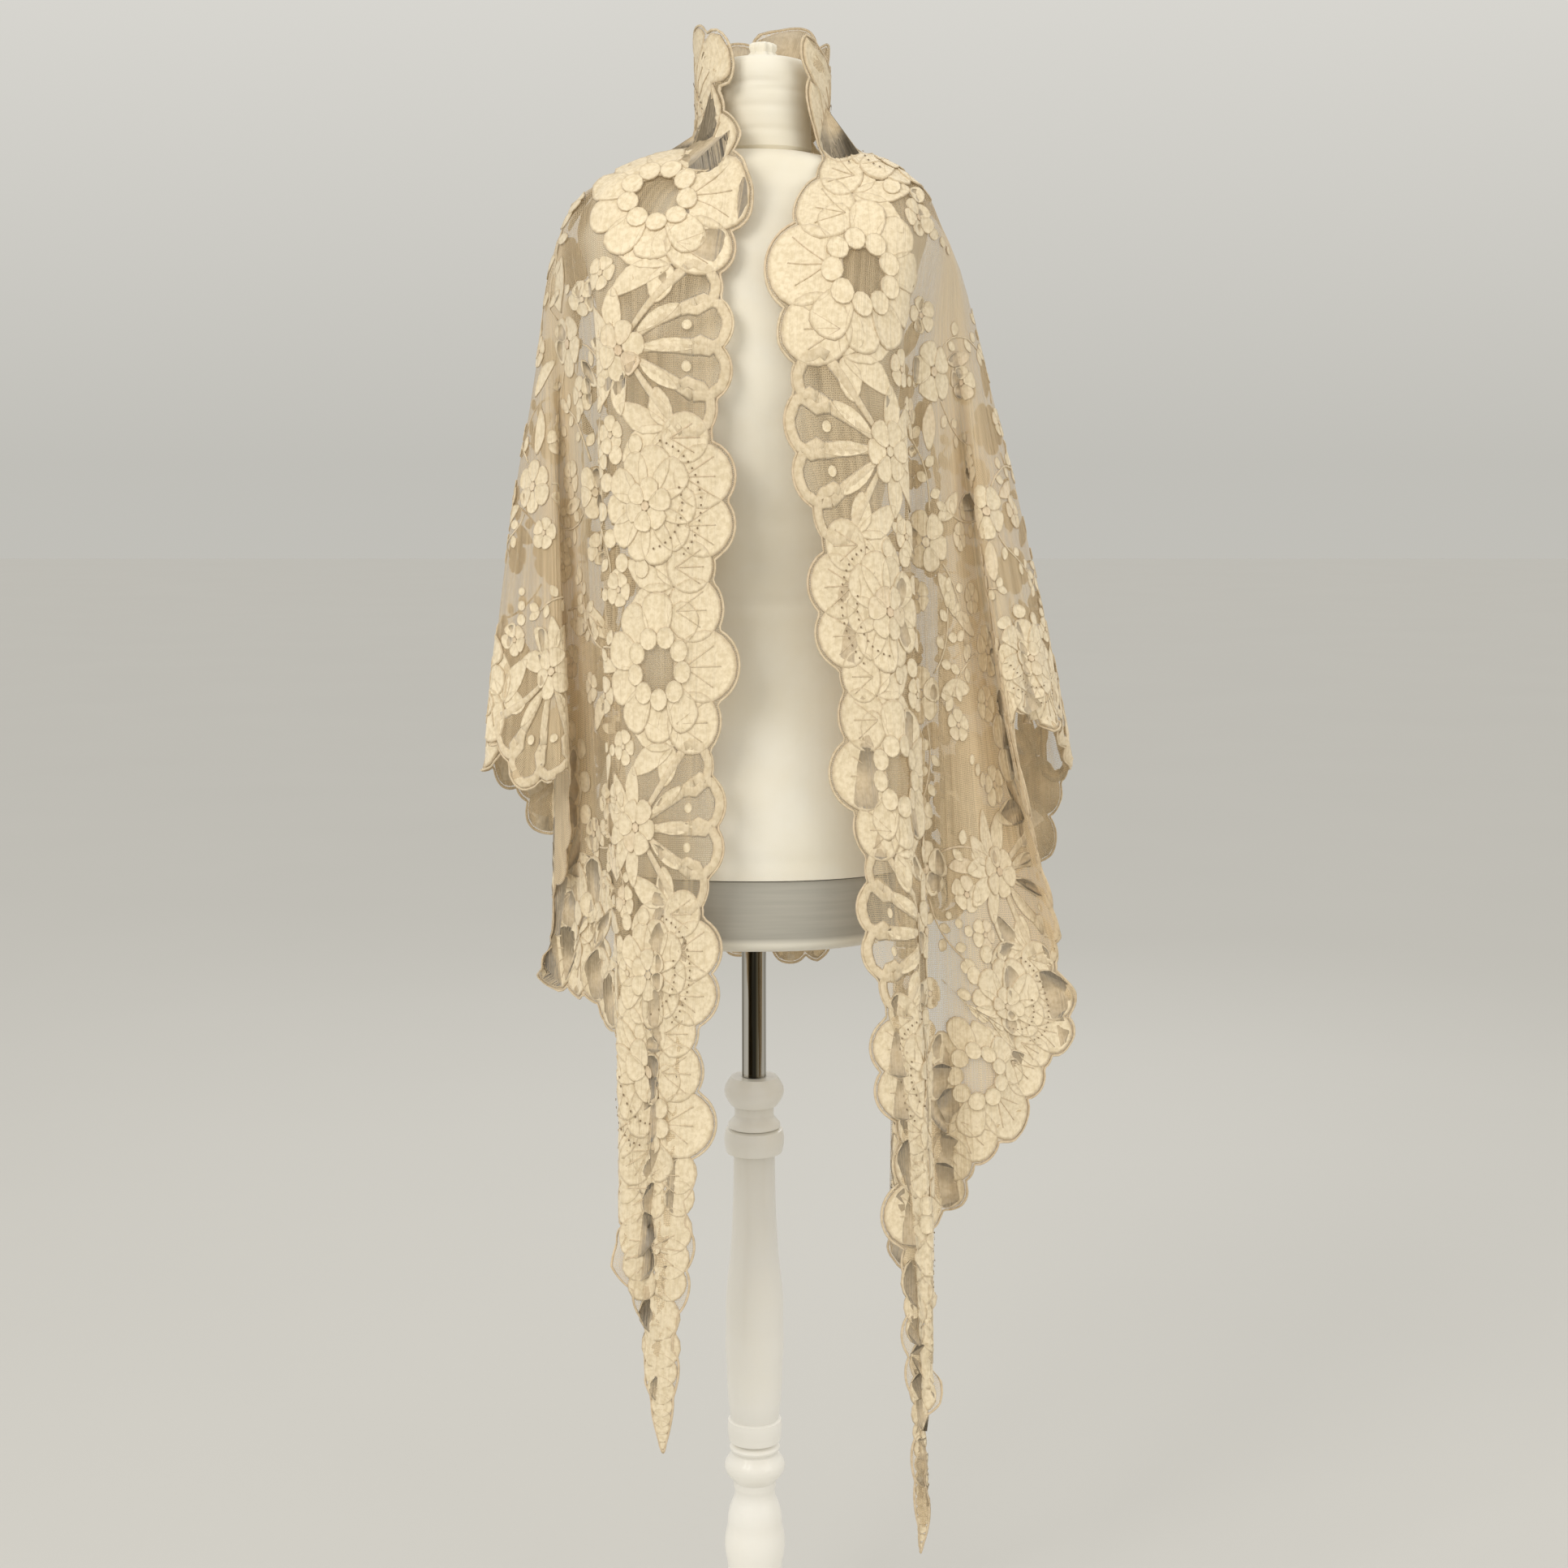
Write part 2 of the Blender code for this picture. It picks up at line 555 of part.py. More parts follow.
def build_stand(chrome, paint, collection):
    """The chrome pole, the painted turned column and the plain round base."""
    bpy.ops.mesh.primitive_cylinder_add(
        vertices=TURNING_STEPS,
        radius=POLE_RADIUS,
        depth=FORM_BOTTOM - COLUMN_TOP - 2 * SEAM,
        location=(0.0, 0.0, (FORM_BOTTOM + COLUMN_TOP) / 2),
    )
    pole = bpy.context.object
    pole.name = "pole"
    pole.data.name = "pole"
    pole.data.shade_smooth()
    pole.data.set_sharp_from_angle(angle=math.radians(40))
    pole.data.materials.append(chrome)
    for owner in pole.users_collection:
        owner.objects.unlink(pole)
    collection.objects.link(pole)
    add_turning("column", column_profile(), paint, collection)
    add_turning("base", BASE, paint, collection)


def main():
    for old in list(bpy.data.objects):
        bpy.data.objects.remove(old, do_unlink=True)
    collection = make_collection("Lace shawl on a dress form")
    lace = make_material("Ivory lace", (0.86, 0.76, 0.58), 0.85)
    jersey = make_material("White jersey", (0.86, 0.83, 0.74), 0.80)
    band = make_material("Satin band", (0.72, 0.70, 0.65), 0.45)
    chrome = make_material("Chrome", (0.60, 0.60, 0.60), 0.12, 1.0)
    paint = make_material("White paint", (0.84, 0.83, 0.80), 0.35)
    build_form(jersey, band, collection)
    build_stand(chrome, paint, collection)
    build_shawl(lace, collection)


main()
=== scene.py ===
"""A triangular floral lace shawl with scalloped borders, worn on a dress form on a turned stand.

The net is one sheet, cut to a scalloped outline in the flat and carried onto the draped surface. The
embroidered motifs are drawn in the flat too, each as a thin raised shape, and carried over with it.
Metres, +Z up, the open front faces -Y, the origin is on the floor under the pole.
"""

import math

import bpy
import numpy as np
from bpy.props import FloatProperty, FloatVectorProperty, IntProperty, PointerProperty
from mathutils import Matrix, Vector
from mathutils.bvhtree import BVHTree
from mathutils.geometry import delaunay_2d_cdt


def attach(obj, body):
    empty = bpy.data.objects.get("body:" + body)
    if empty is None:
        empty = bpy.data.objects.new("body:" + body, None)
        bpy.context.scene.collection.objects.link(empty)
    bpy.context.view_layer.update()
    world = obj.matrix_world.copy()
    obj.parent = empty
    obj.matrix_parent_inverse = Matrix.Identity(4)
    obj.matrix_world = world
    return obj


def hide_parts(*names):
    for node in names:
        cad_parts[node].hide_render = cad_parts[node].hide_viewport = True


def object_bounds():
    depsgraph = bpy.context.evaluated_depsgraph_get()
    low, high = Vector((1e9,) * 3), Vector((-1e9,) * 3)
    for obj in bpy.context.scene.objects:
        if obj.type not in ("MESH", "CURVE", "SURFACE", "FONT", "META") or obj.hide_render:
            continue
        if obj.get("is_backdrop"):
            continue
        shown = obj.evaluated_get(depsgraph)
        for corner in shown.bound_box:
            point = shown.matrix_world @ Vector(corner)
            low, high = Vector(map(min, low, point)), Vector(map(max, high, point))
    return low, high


bl_info = {
    "name": "Lace shawl on a dress form",
    "version": (1, 0, 0),
    "blender": (4, 5, 0),
    "location": "View3D > Sidebar > Lace shawl",
    "description": "Builds a draped floral lace shawl, its dress form, the turned stand and a plain studio",
    "category": "Add Mesh",
}

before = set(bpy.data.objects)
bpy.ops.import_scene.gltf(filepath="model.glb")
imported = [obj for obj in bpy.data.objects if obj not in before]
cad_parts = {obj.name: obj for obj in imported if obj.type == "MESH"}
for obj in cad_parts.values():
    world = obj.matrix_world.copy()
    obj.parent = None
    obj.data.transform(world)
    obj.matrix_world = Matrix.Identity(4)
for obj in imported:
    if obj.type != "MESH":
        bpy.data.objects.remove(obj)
CAD_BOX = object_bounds()

SHAWL_NODES = (
    "shawl_collar",
    "shawl_front_left",
    "shawl_front_right",
    "shawl_tail_left",
    "shawl_tail_right",
    "shawl_side_left",
    "shawl_side_right",
    "shawl_back",
)

# The draped surface
BUST_HEIGHT = 1.40
LONG_HANG = 0.70
YOKE_TURN = 0.15
COLLAR_ROWS = 8
SHOULDER_ROWS = 12
CHEST_ROWS = 10
HANG_ROWS = 62
# Points of the sheet from one fold to the next
PLEAT_STEPS = 6
PUSHES = 16
LARGEST_PUSH = 0.004
SLOPE_STEP = 0.0001

# Each fold is a line of the cloth that hangs from the shoulder. "around" is its bearing in degrees
# from the front, by which it leaves the neck and the shoulder. "bust" is its place in plan at the
# height of the bust, "hem" is where it ends, and "bow" is how far it strays from a straight line.
FOLD_COLUMNS = ("name", "around", "bust_x", "bust_y", "bow_x", "bow_y", "hem_x", "hem_y", "hem_z")
LEFT_FOLDS = (
    ("front edge", 5, -0.026, -0.153, 0.018, -0.004, -0.088, -0.140, 0.300),
    ("front panel", 20, -0.088, -0.158, 0.012, -0.008, -0.112, -0.135, 0.430),
    ("front fold", 42, -0.144, -0.120, -0.002, -0.012, -0.132, -0.124, 0.655),
    ("tuck", 56, -0.156, -0.090, 0.004, 0.000, -0.112, -0.098, 0.715),
    ("underlap", 66, -0.168, -0.075, 0.000, 0.000, -0.142, -0.078, 0.735),
    ("outer underlap", 74, -0.178, -0.056, 0.004, 0.000, -0.168, -0.048, 0.748),
    ("under fold", 81, -0.188, -0.040, 0.000, 0.004, -0.208, -0.008, 0.768),
    ("flare fold", 86, -0.198, -0.034, 0.002, -0.008, -0.182, -0.090, 0.992),
    ("flare front", 91, -0.208, -0.020, 0.000, -0.008, -0.224, -0.080, 0.978),
    ("flare", 96, -0.213, 0.000, -0.003, 0.000, -0.269, -0.028, 1.018),
    ("flare back", 103, -0.205, 0.034, -0.004, 0.004, -0.236, 0.056, 0.925),
    ("back tuck", 112, -0.184, 0.052, 0.004, 0.000, -0.172, 0.066, 0.905),
    ("back fold", 124, -0.168, 0.092, -0.004, 0.008, -0.188, 0.142, 0.870),
    ("second tuck", 138, -0.132, 0.098, 0.000, 0.000, -0.124, 0.118, 0.840),
    ("second fold", 152, -0.098, 0.120, -0.002, 0.008, -0.108, 0.178, 0.812),
    ("third tuck", 166, -0.052, 0.112, 0.000, 0.000, -0.050, 0.132, 0.785),
)
RIGHT_FOLDS = (
    ("front edge", 5, 0.026, -0.151, 0.018, 0.000, 0.176, -0.132, 0.190),
    ("front panel", 20, 0.086, -0.158, 0.018, -0.004, 0.169, -0.140, 0.330),
    ("front fold", 42, 0.142, -0.122, 0.004, -0.010, 0.180, -0.124, 0.455),
    ("tuck", 56, 0.154, -0.092, -0.004, 0.000, 0.142, -0.098, 0.520),
    ("underlap", 66, 0.168, -0.082, 0.000, -0.006, 0.196, -0.090, 0.545),
    ("outer underlap", 74, 0.182, -0.064, 0.000, -0.006, 0.246, -0.084, 0.612),
    ("under fold", 81, 0.196, -0.046, -0.010, 0.004, 0.318, -0.030, 0.708),
    ("flare fold", 86, 0.208, -0.038, -0.008, -0.012, 0.258, -0.092, 1.045),
    ("flare front", 91, 0.219, -0.022, 0.000, -0.008, 0.288, -0.068, 1.036),
    ("flare", 96, 0.227, 0.000, 0.003, 0.000, 0.317, -0.010, 1.026),
    ("flare back", 103, 0.216, 0.036, 0.006, 0.004, 0.290, 0.078, 0.870),
    ("back tuck", 112, 0.190, 0.054, -0.002, 0.000, 0.206, 0.074, 0.835),
    ("back fold", 124, 0.172, 0.094, 0.004, 0.008, 0.218, 0.146, 0.805),
    ("second tuck", 138, 0.136, 0.098, 0.000, 0.000, 0.146, 0.120, 0.800),
    ("second fold", 152, 0.102, 0.122, 0.002, 0.008, 0.124, 0.182, 0.778),
    ("third tuck", 166, 0.056, 0.114, 0.000, 0.000, 0.066, 0.134, 0.765),
)
BACK_FOLD = ("centre back", 180, 0.004, 0.128, 0.000, 0.006, 0.012, 0.184, 0.752)

COLLAR_COLUMNS = ("around", "edge_radius", "edge_height", "base_radius", "base_height")
COLLAR = (
    (5, 0.088, 1.580, 0.101, 1.558),
    (16, 0.078, 1.602, 0.098, 1.562),
    (31, 0.063, 1.655, 0.088, 1.572),
    (48, 0.059, 1.696, 0.072, 1.588),
    (75, 0.064, 1.700, 0.068, 1.598),
    (100, 0.068, 1.698, 0.065, 1.602),
    (130, 0.070, 1.702, 0.062, 1.603),
    (155, 0.076, 1.707, 0.062, 1.601),
    (180, 0.080, 1.713, 0.062, 1.598),
)
YOKE_HALF_WIDTH = 0.182
YOKE_FRONT = 0.100
YOKE_BACK = 0.088
YOKE_HEIGHT = 1.526
YOKE_RISE = 0.030
YOKE_SQUARENESS = 2.6
COLLAR_HOLLOW = 0.003
SHOULDER_RISE = 0.010
OPENING_SHIFT = 0.013
NECK_OPENING_LEFT = 16.0
NECK_OPENING_RIGHT = 48.0

# Creases of the cloth: from fold and share of the hang, to fold and share, half width in folds, and
# height in metres (below zero for a trough). Folds count from the left front edge to the right one.
CREASE_COLUMNS = ("name", "fold_a", "hang_a", "fold_b", "hang_b", "half_width", "height")
CREASES = (
    ("left lapel ridge", 0.1, -0.18, 1.9, -0.02, 0.26, 0.0060),
    ("left lapel trough", 0.1, -0.08, 2.1, 0.08, 0.24, -0.0050),
    ("left shoulder trough", 2.6, -0.26, 2.4, 0.30, 0.30, -0.0045),
    ("left panel ridge", 1.1, 0.02, 0.9, 0.70, 0.30, 0.0040),
    ("left panel trough", 1.6, 0.05, 1.5, 0.80, 0.26, -0.0045),
    ("left long crease", 3.4, -0.10, 3.3, 0.85, 0.22, -0.0040),
    ("left flare ridge", 9.1, 0.10, 9.0, 1.00, 0.26, 0.0045),
    ("left flare trough", 8.5, 0.15, 8.5, 1.00, 0.22, -0.0045),
    ("left back crease", 12.5, 0.00, 12.4, 0.90, 0.30, -0.0040),
    ("left back shoulder", 13.5, -0.25, 13.2, 0.25, 0.35, -0.0040),
    ("centre back crease", 16.4, -0.20, 16.6, 0.70, 0.30, -0.0045),
    ("centre back ridge", 15.6, -0.10, 15.5, 0.90, 0.30, 0.0045),
    ("right back shoulder", 18.6, -0.25, 18.9, 0.25, 0.35, -0.0040),
    ("right back crease", 19.6, 0.00, 19.5, 0.90, 0.30, -0.0040),
    ("right flare trough", 23.5, 0.15, 23.4, 1.00, 0.22, -0.0045),
    ("right flare ridge", 22.8, 0.10, 22.7, 1.00, 0.26, 0.0045),
    ("right long crease", 28.7, -0.10, 28.6, 0.85, 0.22, -0.0045),
    ("right shoulder trough", 29.5, -0.26, 29.6, 0.30, 0.30, -0.0045),
    ("right lapel ridge", 31.7, -0.15, 30.4, 0.04, 0.26, 0.0055),
    ("right panel trough", 30.4, 0.10, 30.5, 0.85, 0.26, -0.0045),
    ("right panel ridge", 31.0, 0.05, 31.0, 0.80, 0.26, 0.0040),
)

# Soft flutes across the folds: waves to a fold, their start, and their share.
FLUTES = ((0.85, 0.4, 0.50), (1.37, 2.1, 0.32), (2.10, 4.4, 0.18))
FLUTE_GROWTH = 1.4
# The tightly gathered folds under the flares, where flutes have no room
TIGHT_FOLDS = (6.3, 25.7)
TIGHT_REACH = 1.6
TIGHT_CALM = 0.9

# The form
FORM_COLUMNS = ("height", "half_width", "front", "back", "squareness")
FORM = (
    (0.812, 0.150, 0.112, 0.112, 2.2),
    (0.860, 0.158, 0.118, 0.120, 2.2),
    (0.910, 0.161, 0.121, 0.123, 2.2),
    (0.960, 0.157, 0.119, 0.121, 2.2),
    (1.030, 0.138, 0.108, 0.104, 2.2),
    (1.110, 0.120, 0.098, 0.086, 2.2),
    (1.160, 0.118, 0.098, 0.082, 2.2),
    (1.230, 0.126, 0.108, 0.084, 2.2),
    (1.310, 0.140, 0.128, 0.090, 2.2),
    (1.380, 0.148, 0.137, 0.096, 2.2),
    (1.430, 0.152, 0.126, 0.098, 2.3),
    (1.480, 0.164, 0.104, 0.094, 2.5),
    (1.520, 0.172, 0.084, 0.083, 2.6),
    (1.545, 0.160, 0.074, 0.072, 2.5),
    (1.565, 0.135, 0.067, 0.064, 2.3),
    (1.582, 0.100, 0.060, 0.056, 2.1),
    (1.590, 0.060, 0.051, 0.050, 2.0),
)
# The neck block, as two more rings of the form where the cloth is kept clear of it
NECK_RINGS = (
    (1.600, 0.050, 0.047, 0.049, 2.0),
    (1.690, 0.048, 0.045, 0.049, 2.0),
)
NECK_CENTRE = (0.010, 0.004)
TUFT_CENTRE = (0.010, 0.010)
# The gathered end of the cover: height, radius, and how far it ruffles
TUFT = (
    (1.6813, 0.0165, 0.05),
    (1.6840, 0.0165, 0.10),
    (1.6870, 0.0130, 0.14),
    (1.6890, 0.0115, 0.10),
    (1.6930, 0.0125, 0.14),
    (1.6965, 0.0120, 0.16),
    (1.6985, 0.0090, 0.14),
    (1.6990, 0.0050, 0.06),
)
NECK = (
    (1.6810, 0.034),
    (1.6760, 0.043),
    (1.6650, 0.047),
    (1.5945, 0.048),
    (1.5905, 0.045),
)
COVER_HEM = 0.886
COVER_THICKNESS = 0.003
FORM_BOTTOM = 0.812
BAND_ROLL = 0.010
SEAM = 0.0003

# Creases in the jersey cover: height, bearing in degrees from the front, half width round, half
# height, and depth in metres.
COVER_CREASES = (
    (1.155, 4, 38, 0.0050, -0.0016),
    (1.130, -12, 30, 0.0040, -0.0009),
    (1.235, 14, 26, 0.0100, -0.0010),
    (0.905, 10, 30, 0.0050, -0.0010),
    (1.545, 6, 30, 0.0040, -0.0010),
    (1.165, 178, 42, 0.0060, -0.0014),
    (1.250, 196, 30, 0.0090, -0.0010),
)
NECK_CREASES = (
    (1.655, -18, 42, 0.0030, -0.0014),
    (1.648, 22, 34, 0.0030, -0.0012),
    (1.632, -4, 50, 0.0035, -0.0010),
    (1.610, 12, 60, 0.0030, -0.0010),
    (1.650, 170, 60, 0.0040, -0.0012),
)

# The turned column from its top down: height, radius, and how far the run that follows swells.
COLUMN = (
    (0.6600, 0.0140, 0.000),
    (0.6600, 0.0240, 0.007),
    (0.6300, 0.0240, 0.000),
    (0.6290, 0.0205, 0.000),
    (0.6230, 0.0205, -0.002),
    (0.6130, 0.0250, 0.001),
    (0.6070, 0.0270, 0.000),
    (0.6055, 0.0240, 0.000),
    (0.6040, 0.0295, 0.002),
    (0.5800, 0.0290, 0.000),
    (0.5780, 0.0215, -0.001),
    (0.4650, 0.0255, 0.002),
    (0.3900, 0.0300, 0.001),
    (0.3500, 0.0295, 0.001),
    (0.2900, 0.0255, 0.000),
    (0.2885, 0.0280, 0.001),
    (0.2660, 0.0270, 0.000),
    (0.2650, 0.0210, 0.000),
    (0.2630, 0.0210, 0.004),
    (0.2540, 0.0240, 0.000),
    (0.2520, 0.0240, 0.008),
    (0.2230, 0.0240, 0.000),
    (0.2210, 0.0225, 0.000),
    (0.2150, 0.0225, -0.001),
    (0.2030, 0.0220, 0.002),
    (0.1720, 0.0290, 0.003),
    (0.1300, 0.0290, 0.001),
    (0.0900, 0.0240, -0.003),
    (0.0600, 0.0300, 0.000),
    (0.0580, 0.0380, 0.003),
    (0.0343, 0.0400, 0.000),
)
BASE = (
    (0.0340, 0.052),
    (0.0320, 0.060),
    (0.0260, 0.068),
    (0.0240, 0.100),
    (0.0210, 0.145),
    (0.0206, 0.153),
    (0.0193, 0.157),
    (0.0173, 0.160),
    (0.0148, 0.163),
    (0.0120, 0.165),
    (0.0030, 0.165),
    (0.0000, 0.162),
)
COLUMN_TOP = 0.660
RUN_STEPS = 6
TURNING_STEPS = 96

# The border: one repeat of the scalloped edge holds a fan, a rose and a peony. Each lobe is a
# circle: its part, its place along the repeat, its place in from the edge line, and its radius.
REPEAT = 0.400
LOBES = (
    ("fan", 0.016, 0.032, 0.0260),
    ("fan", 0.048, 0.020, 0.0280),
    ("fan", 0.086, 0.020, 0.0280),
    ("fan", 0.118, 0.032, 0.0260),
    ("rose", 0.156, 0.028, 0.0290),
    ("rose", 0.203, 0.016, 0.0330),
    ("rose", 0.250, 0.028, 0.0290),
    ("peony", 0.286, 0.032, 0.0240),
    ("peony", 0.320, 0.018, 0.0290),
    ("peony", 0.360, 0.018, 0.0290),
    ("peony", 0.392, 0.034, 0.0230),
)
ROSE_PLACE = 0.203
LONG_REPEAT = 0.410
MIDDLE_LEFT = 0.080
MIDDLE_RIGHT = 0.125
OUTLINE_STEP = 0.004
VALLEY = 0.018
# A repeat with fewer than this many repeats of room left has its fan's windows filled in
NARROW = 2.1
# A motif is left out where the opposite edge of the cut comes nearer to it than its own edge
LEAST_GAP_SHARE = 0.80
LEAST_GAP = 0.004

# The tips: rows of small discs fill the last stretch, and one row runs on from them
TIP_ROOM = 0.012
TIP_REACH = 0.42
TIP_STEP = 0.010
TIP_PETAL = 0.026
TIP_WIDTH = 0.036
TIP_FULL = 0.30
TIP_FILL = 0.58
TIP_SPACING = 1.3

# The field of sprays
BARE_SHOULDER = 0.30
FIELD_START = 0.19
FIELD_ROW = 0.87
FIELD_STRAY = 0.012
SPRAY_ROOM = 0.135
SPRIG_ROOM = 0.128

# The studio. Each light: its name, place, target, size, the setting for its power, and its colour.
FLOOR_REACH = 30
FLOOR_LEVEL = -0.0005
LIGHTS = (
    ("Key", (-1.9, -2.6, 2.9), (0.0, 0.0, 1.15), 1.6, "key_power", (1.0, 0.97, 0.92)),
    ("Fill", (2.4, -1.6, 1.8), (0.0, 0.0, 1.1), 1.8, "fill_power", (1.0, 0.97, 0.94)),
    ("Back", (0.6, 2.8, 2.6), (0.0, 0.0, 1.2), 1.6, "fill_power", (0.98, 0.98, 1.0)),
)
ROOM_LOW = (0.560, 0.549, 0.508, 1.0)
ROOM_HIGH = (1.0, 0.98, 0.93, 1.0)
CAMERA_PLACE = (0.031, -2.4, 1.29)
CAMERA_DIP = 7.7
SENSOR_WIDTH = 36.0
# The distance at which the camera takes in a view one metre wide
VIEW_DEPTH = 1.51501


# ---------------------------------------------------------------- helpers


def table(rows, columns):
    """The numbers of a table as one array for each column name."""
    numeric = [index for index in range(len(columns)) if not isinstance(rows[0][index], str)]
    values = np.array([[row[index] for index in numeric] for row in rows], float)
    return {columns[index]: values[:, place] for place, index in enumerate(numeric)}


def curve_through(knots, places, wanted):
    """Cubic curve through places at the rising knots, read at the wanted knots."""
    steps = np.diff(knots)
    slopes = np.diff(places, axis=0) / steps[:, None]
    tangents = np.empty_like(places)
    tangents[0] = slopes[0]
    tangents[-1] = slopes[-1]
    before = steps[:-1, None]
    after = steps[1:, None]
    tangents[1:-1] = (slopes[:-1] * after + slopes[1:] * before) / (before + after)
    index = np.clip(np.searchsorted(knots, wanted, side="right") - 1, 0, len(steps) - 1)
    step = steps[index][:, None]
    part = (wanted - knots[index])[:, None] / step
    start = (1 + 2 * part) * (1 - part) ** 2 * places[index]
    start = start + part * (1 - part) ** 2 * step * tangents[index]
    end = part**2 * (3 - 2 * part) * places[index + 1]
    return start + end - part**2 * (1 - part) * step * tangents[index + 1]


def run_along(places):
    """The length along a line of places, from nought at the first."""
    return np.concatenate([[0], np.cumsum(np.linalg.norm(np.diff(places, axis=0), axis=1))])


def once_round(count):
    """Even angles once round."""
    return np.linspace(0, 2 * math.pi, count, endpoint=False)


def flat_cross(one, other):
    """The cross product of flat vectors."""
    return one[:, 0] * other[:, 1] - one[:, 1] * other[:, 0]


def band_faces(rings, count):
    """The faces between closed rings of points, one after another."""
    faces = []
    for low in range(0, (rings - 1) * count, count):
        for place in range(count):
            after = (place + 1) % count
            faces.append((low + place, low + after, low + count + after, low + count + place))
    return faces


def unit(vectors):
    """The vectors at length one."""
    return vectors / np.maximum(np.linalg.norm(vectors, axis=-1), 1e-9)[..., None]


def add_object(name, points, faces, smooth=True):
    """A mesh object in the scene, in the row frame."""
    mesh = bpy.data.meshes.new(name)
    mesh.from_pydata(np.asarray(points, float).tolist(), [], faces)
    mesh.validate()
    if smooth:
        mesh.shade_smooth()
    piece = bpy.data.objects.new(name, mesh)
    bpy.context.scene.collection.objects.link(piece)
    return piece


def store(piece, name, values):
    """A number for each point of the piece, for its material to read."""
    attribute = piece.data.attributes.new(name, "FLOAT", "POINT")
    attribute.data.foreach_set("value", np.asarray(values, np.float32))


def settle(piece, material, nodes=()):
    """The piece rides on the root body, in its material, in place of its nodes."""
    piece.data.materials.clear()
    piece.data.materials.append(material)
    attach(piece, "root")
    if nodes:
        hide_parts(*nodes)


# ---------------------------------------------------------------- the draped surface


def form_level(places):
    """How far each place is outside the form's surface, as a share of the ring's own size."""
    rings = table(FORM + NECK_RINGS, FORM_COLUMNS)
    height = places[:, 2]
    width, front, back, power = (
        np.interp(height, rings["height"], rings[name]) for name in FORM_COLUMNS[1:]
    )
    depth = np.where(places[:, 1] < 0, front, back)
    reach = np.abs(places[:, 0] / width) ** power + np.abs(places[:, 1] / depth) ** power
    return reach ** (1 / power) - 1


def clear_of_form(places, clearance):
    """The places, moved straight out of the form where they are nearer to it than the clearance."""
    places = places.copy()
    for _ in range(PUSHES):
        level = form_level(places)
        slope = np.empty_like(places)
        for axis in range(3):
            moved = places.copy()
            moved[:, axis] += SLOPE_STEP
            slope[:, axis] = (form_level(moved) - level) / SLOPE_STEP
        steepness = np.linalg.norm(slope, axis=1)
        short = np.clip(clearance - level / steepness, 0, LARGEST_PUSH)
        places += slope / steepness[:, None] * short[:, None]
    return places


def fold_controls(side, folds):
    """The control places of every fold of one side: collar edge, collar, base, shoulder, yoke, bust."""
    collar = table(COLLAR, COLLAR_COLUMNS)
    around = folds["around"]
    bearing = np.radians(around)
    opening = NECK_OPENING_LEFT if side < 0 else NECK_OPENING_RIGHT
    share = (around - around[0]) / (around[-1] - around[0])
    round_neck = opening + (180 - opening) * share
    reading = {
        name: np.interp(round_neck, collar["around"], collar[name]) for name in COLLAR_COLUMNS[1:]
    }

    def on_ring(radius, height):
        turn = np.radians(round_neck)
        across = side * radius * np.sin(turn) + NECK_CENTRE[0]
        along = -radius * np.cos(turn) + NECK_CENTRE[1]
        return np.stack([across, along, height], axis=1)

    edge = on_ring(reading["edge_radius"], reading["edge_height"])
    base = on_ring(reading["base_radius"], reading["base_height"])
    middle_radius = (reading["edge_radius"] + reading["base_radius"]) / 2 - COLLAR_HOLLOW * share
    middle = on_ring(middle_radius, (reading["edge_height"] + reading["base_height"]) / 2)
    power = 2 / YOKE_SQUARENESS
    depth = np.where(around < 90, YOKE_FRONT, YOKE_BACK)
    across = side * YOKE_HALF_WIDTH * np.sin(bearing) ** power
    along = -depth * np.sign(np.cos(bearing)) * np.abs(np.cos(bearing)) ** power
    rise = YOKE_RISE * np.sin(2 * bearing) ** 2
    yoke = np.stack([across, along, YOKE_HEIGHT + rise], axis=1)
    yoke[:, 0] += OPENING_SHIFT * np.cos(bearing) ** 2
    shoulder = (base + yoke) / 2
    shoulder[:, 2] += SHOULDER_RISE * np.sin(bearing)
    bust = np.stack([folds["bust_x"], folds["bust_y"], np.full(len(around), BUST_HEIGHT)], axis=1)
    return [edge, middle, base, shoulder, yoke, bust]


def fold_lines(side, rows_table):
    """The places of one side's folds, [fold, row, xyz], from the long edge down to the hem."""
    folds = table(rows_table, FOLD_COLUMNS)
    controls = fold_controls(side, folds)
    half = COLLAR_ROWS // 2
    counts = (half, COLLAR_ROWS - half, SHOULDER_ROWS // 2, SHOULDER_ROWS // 2, CHEST_ROWS)
    lines = []
    for index in range(len(rows_table)):
        places = np.array([control[index] for control in controls])
        hem = np.array([folds[name][index] for name in ("hem_x", "hem_y", "hem_z")])
        bow = np.array([folds["bow_x"][index], folds["bow_y"][index], 0.0])
        knots = run_along(places)
        onward = places[-1] + (hem - places[-1]) * YOKE_TURN
        knots = np.append(knots, knots[-1] + np.linalg.norm(onward - places[-1]))
        places = np.vstack([places, onward])
        wanted = [np.linspace(knots[n], knots[n + 1], counts[n] + 1)[:-1] for n in range(len(counts))]
        upper = curve_through(knots, places, np.concatenate(wanted))
        crowding = np.clip(LONG_HANG / (BUST_HEIGHT - hem[2]), 1, 2)
        share = 1 - (1 - np.linspace(0, 1, HANG_ROWS + 1)[:, None]) ** crowding
        lower = places[-2] + (hem - places[-2]) * share + 4 * share * (1 - share) * bow
        lines.append(np.vstack([upper, lower]))
    return np.array(lines)


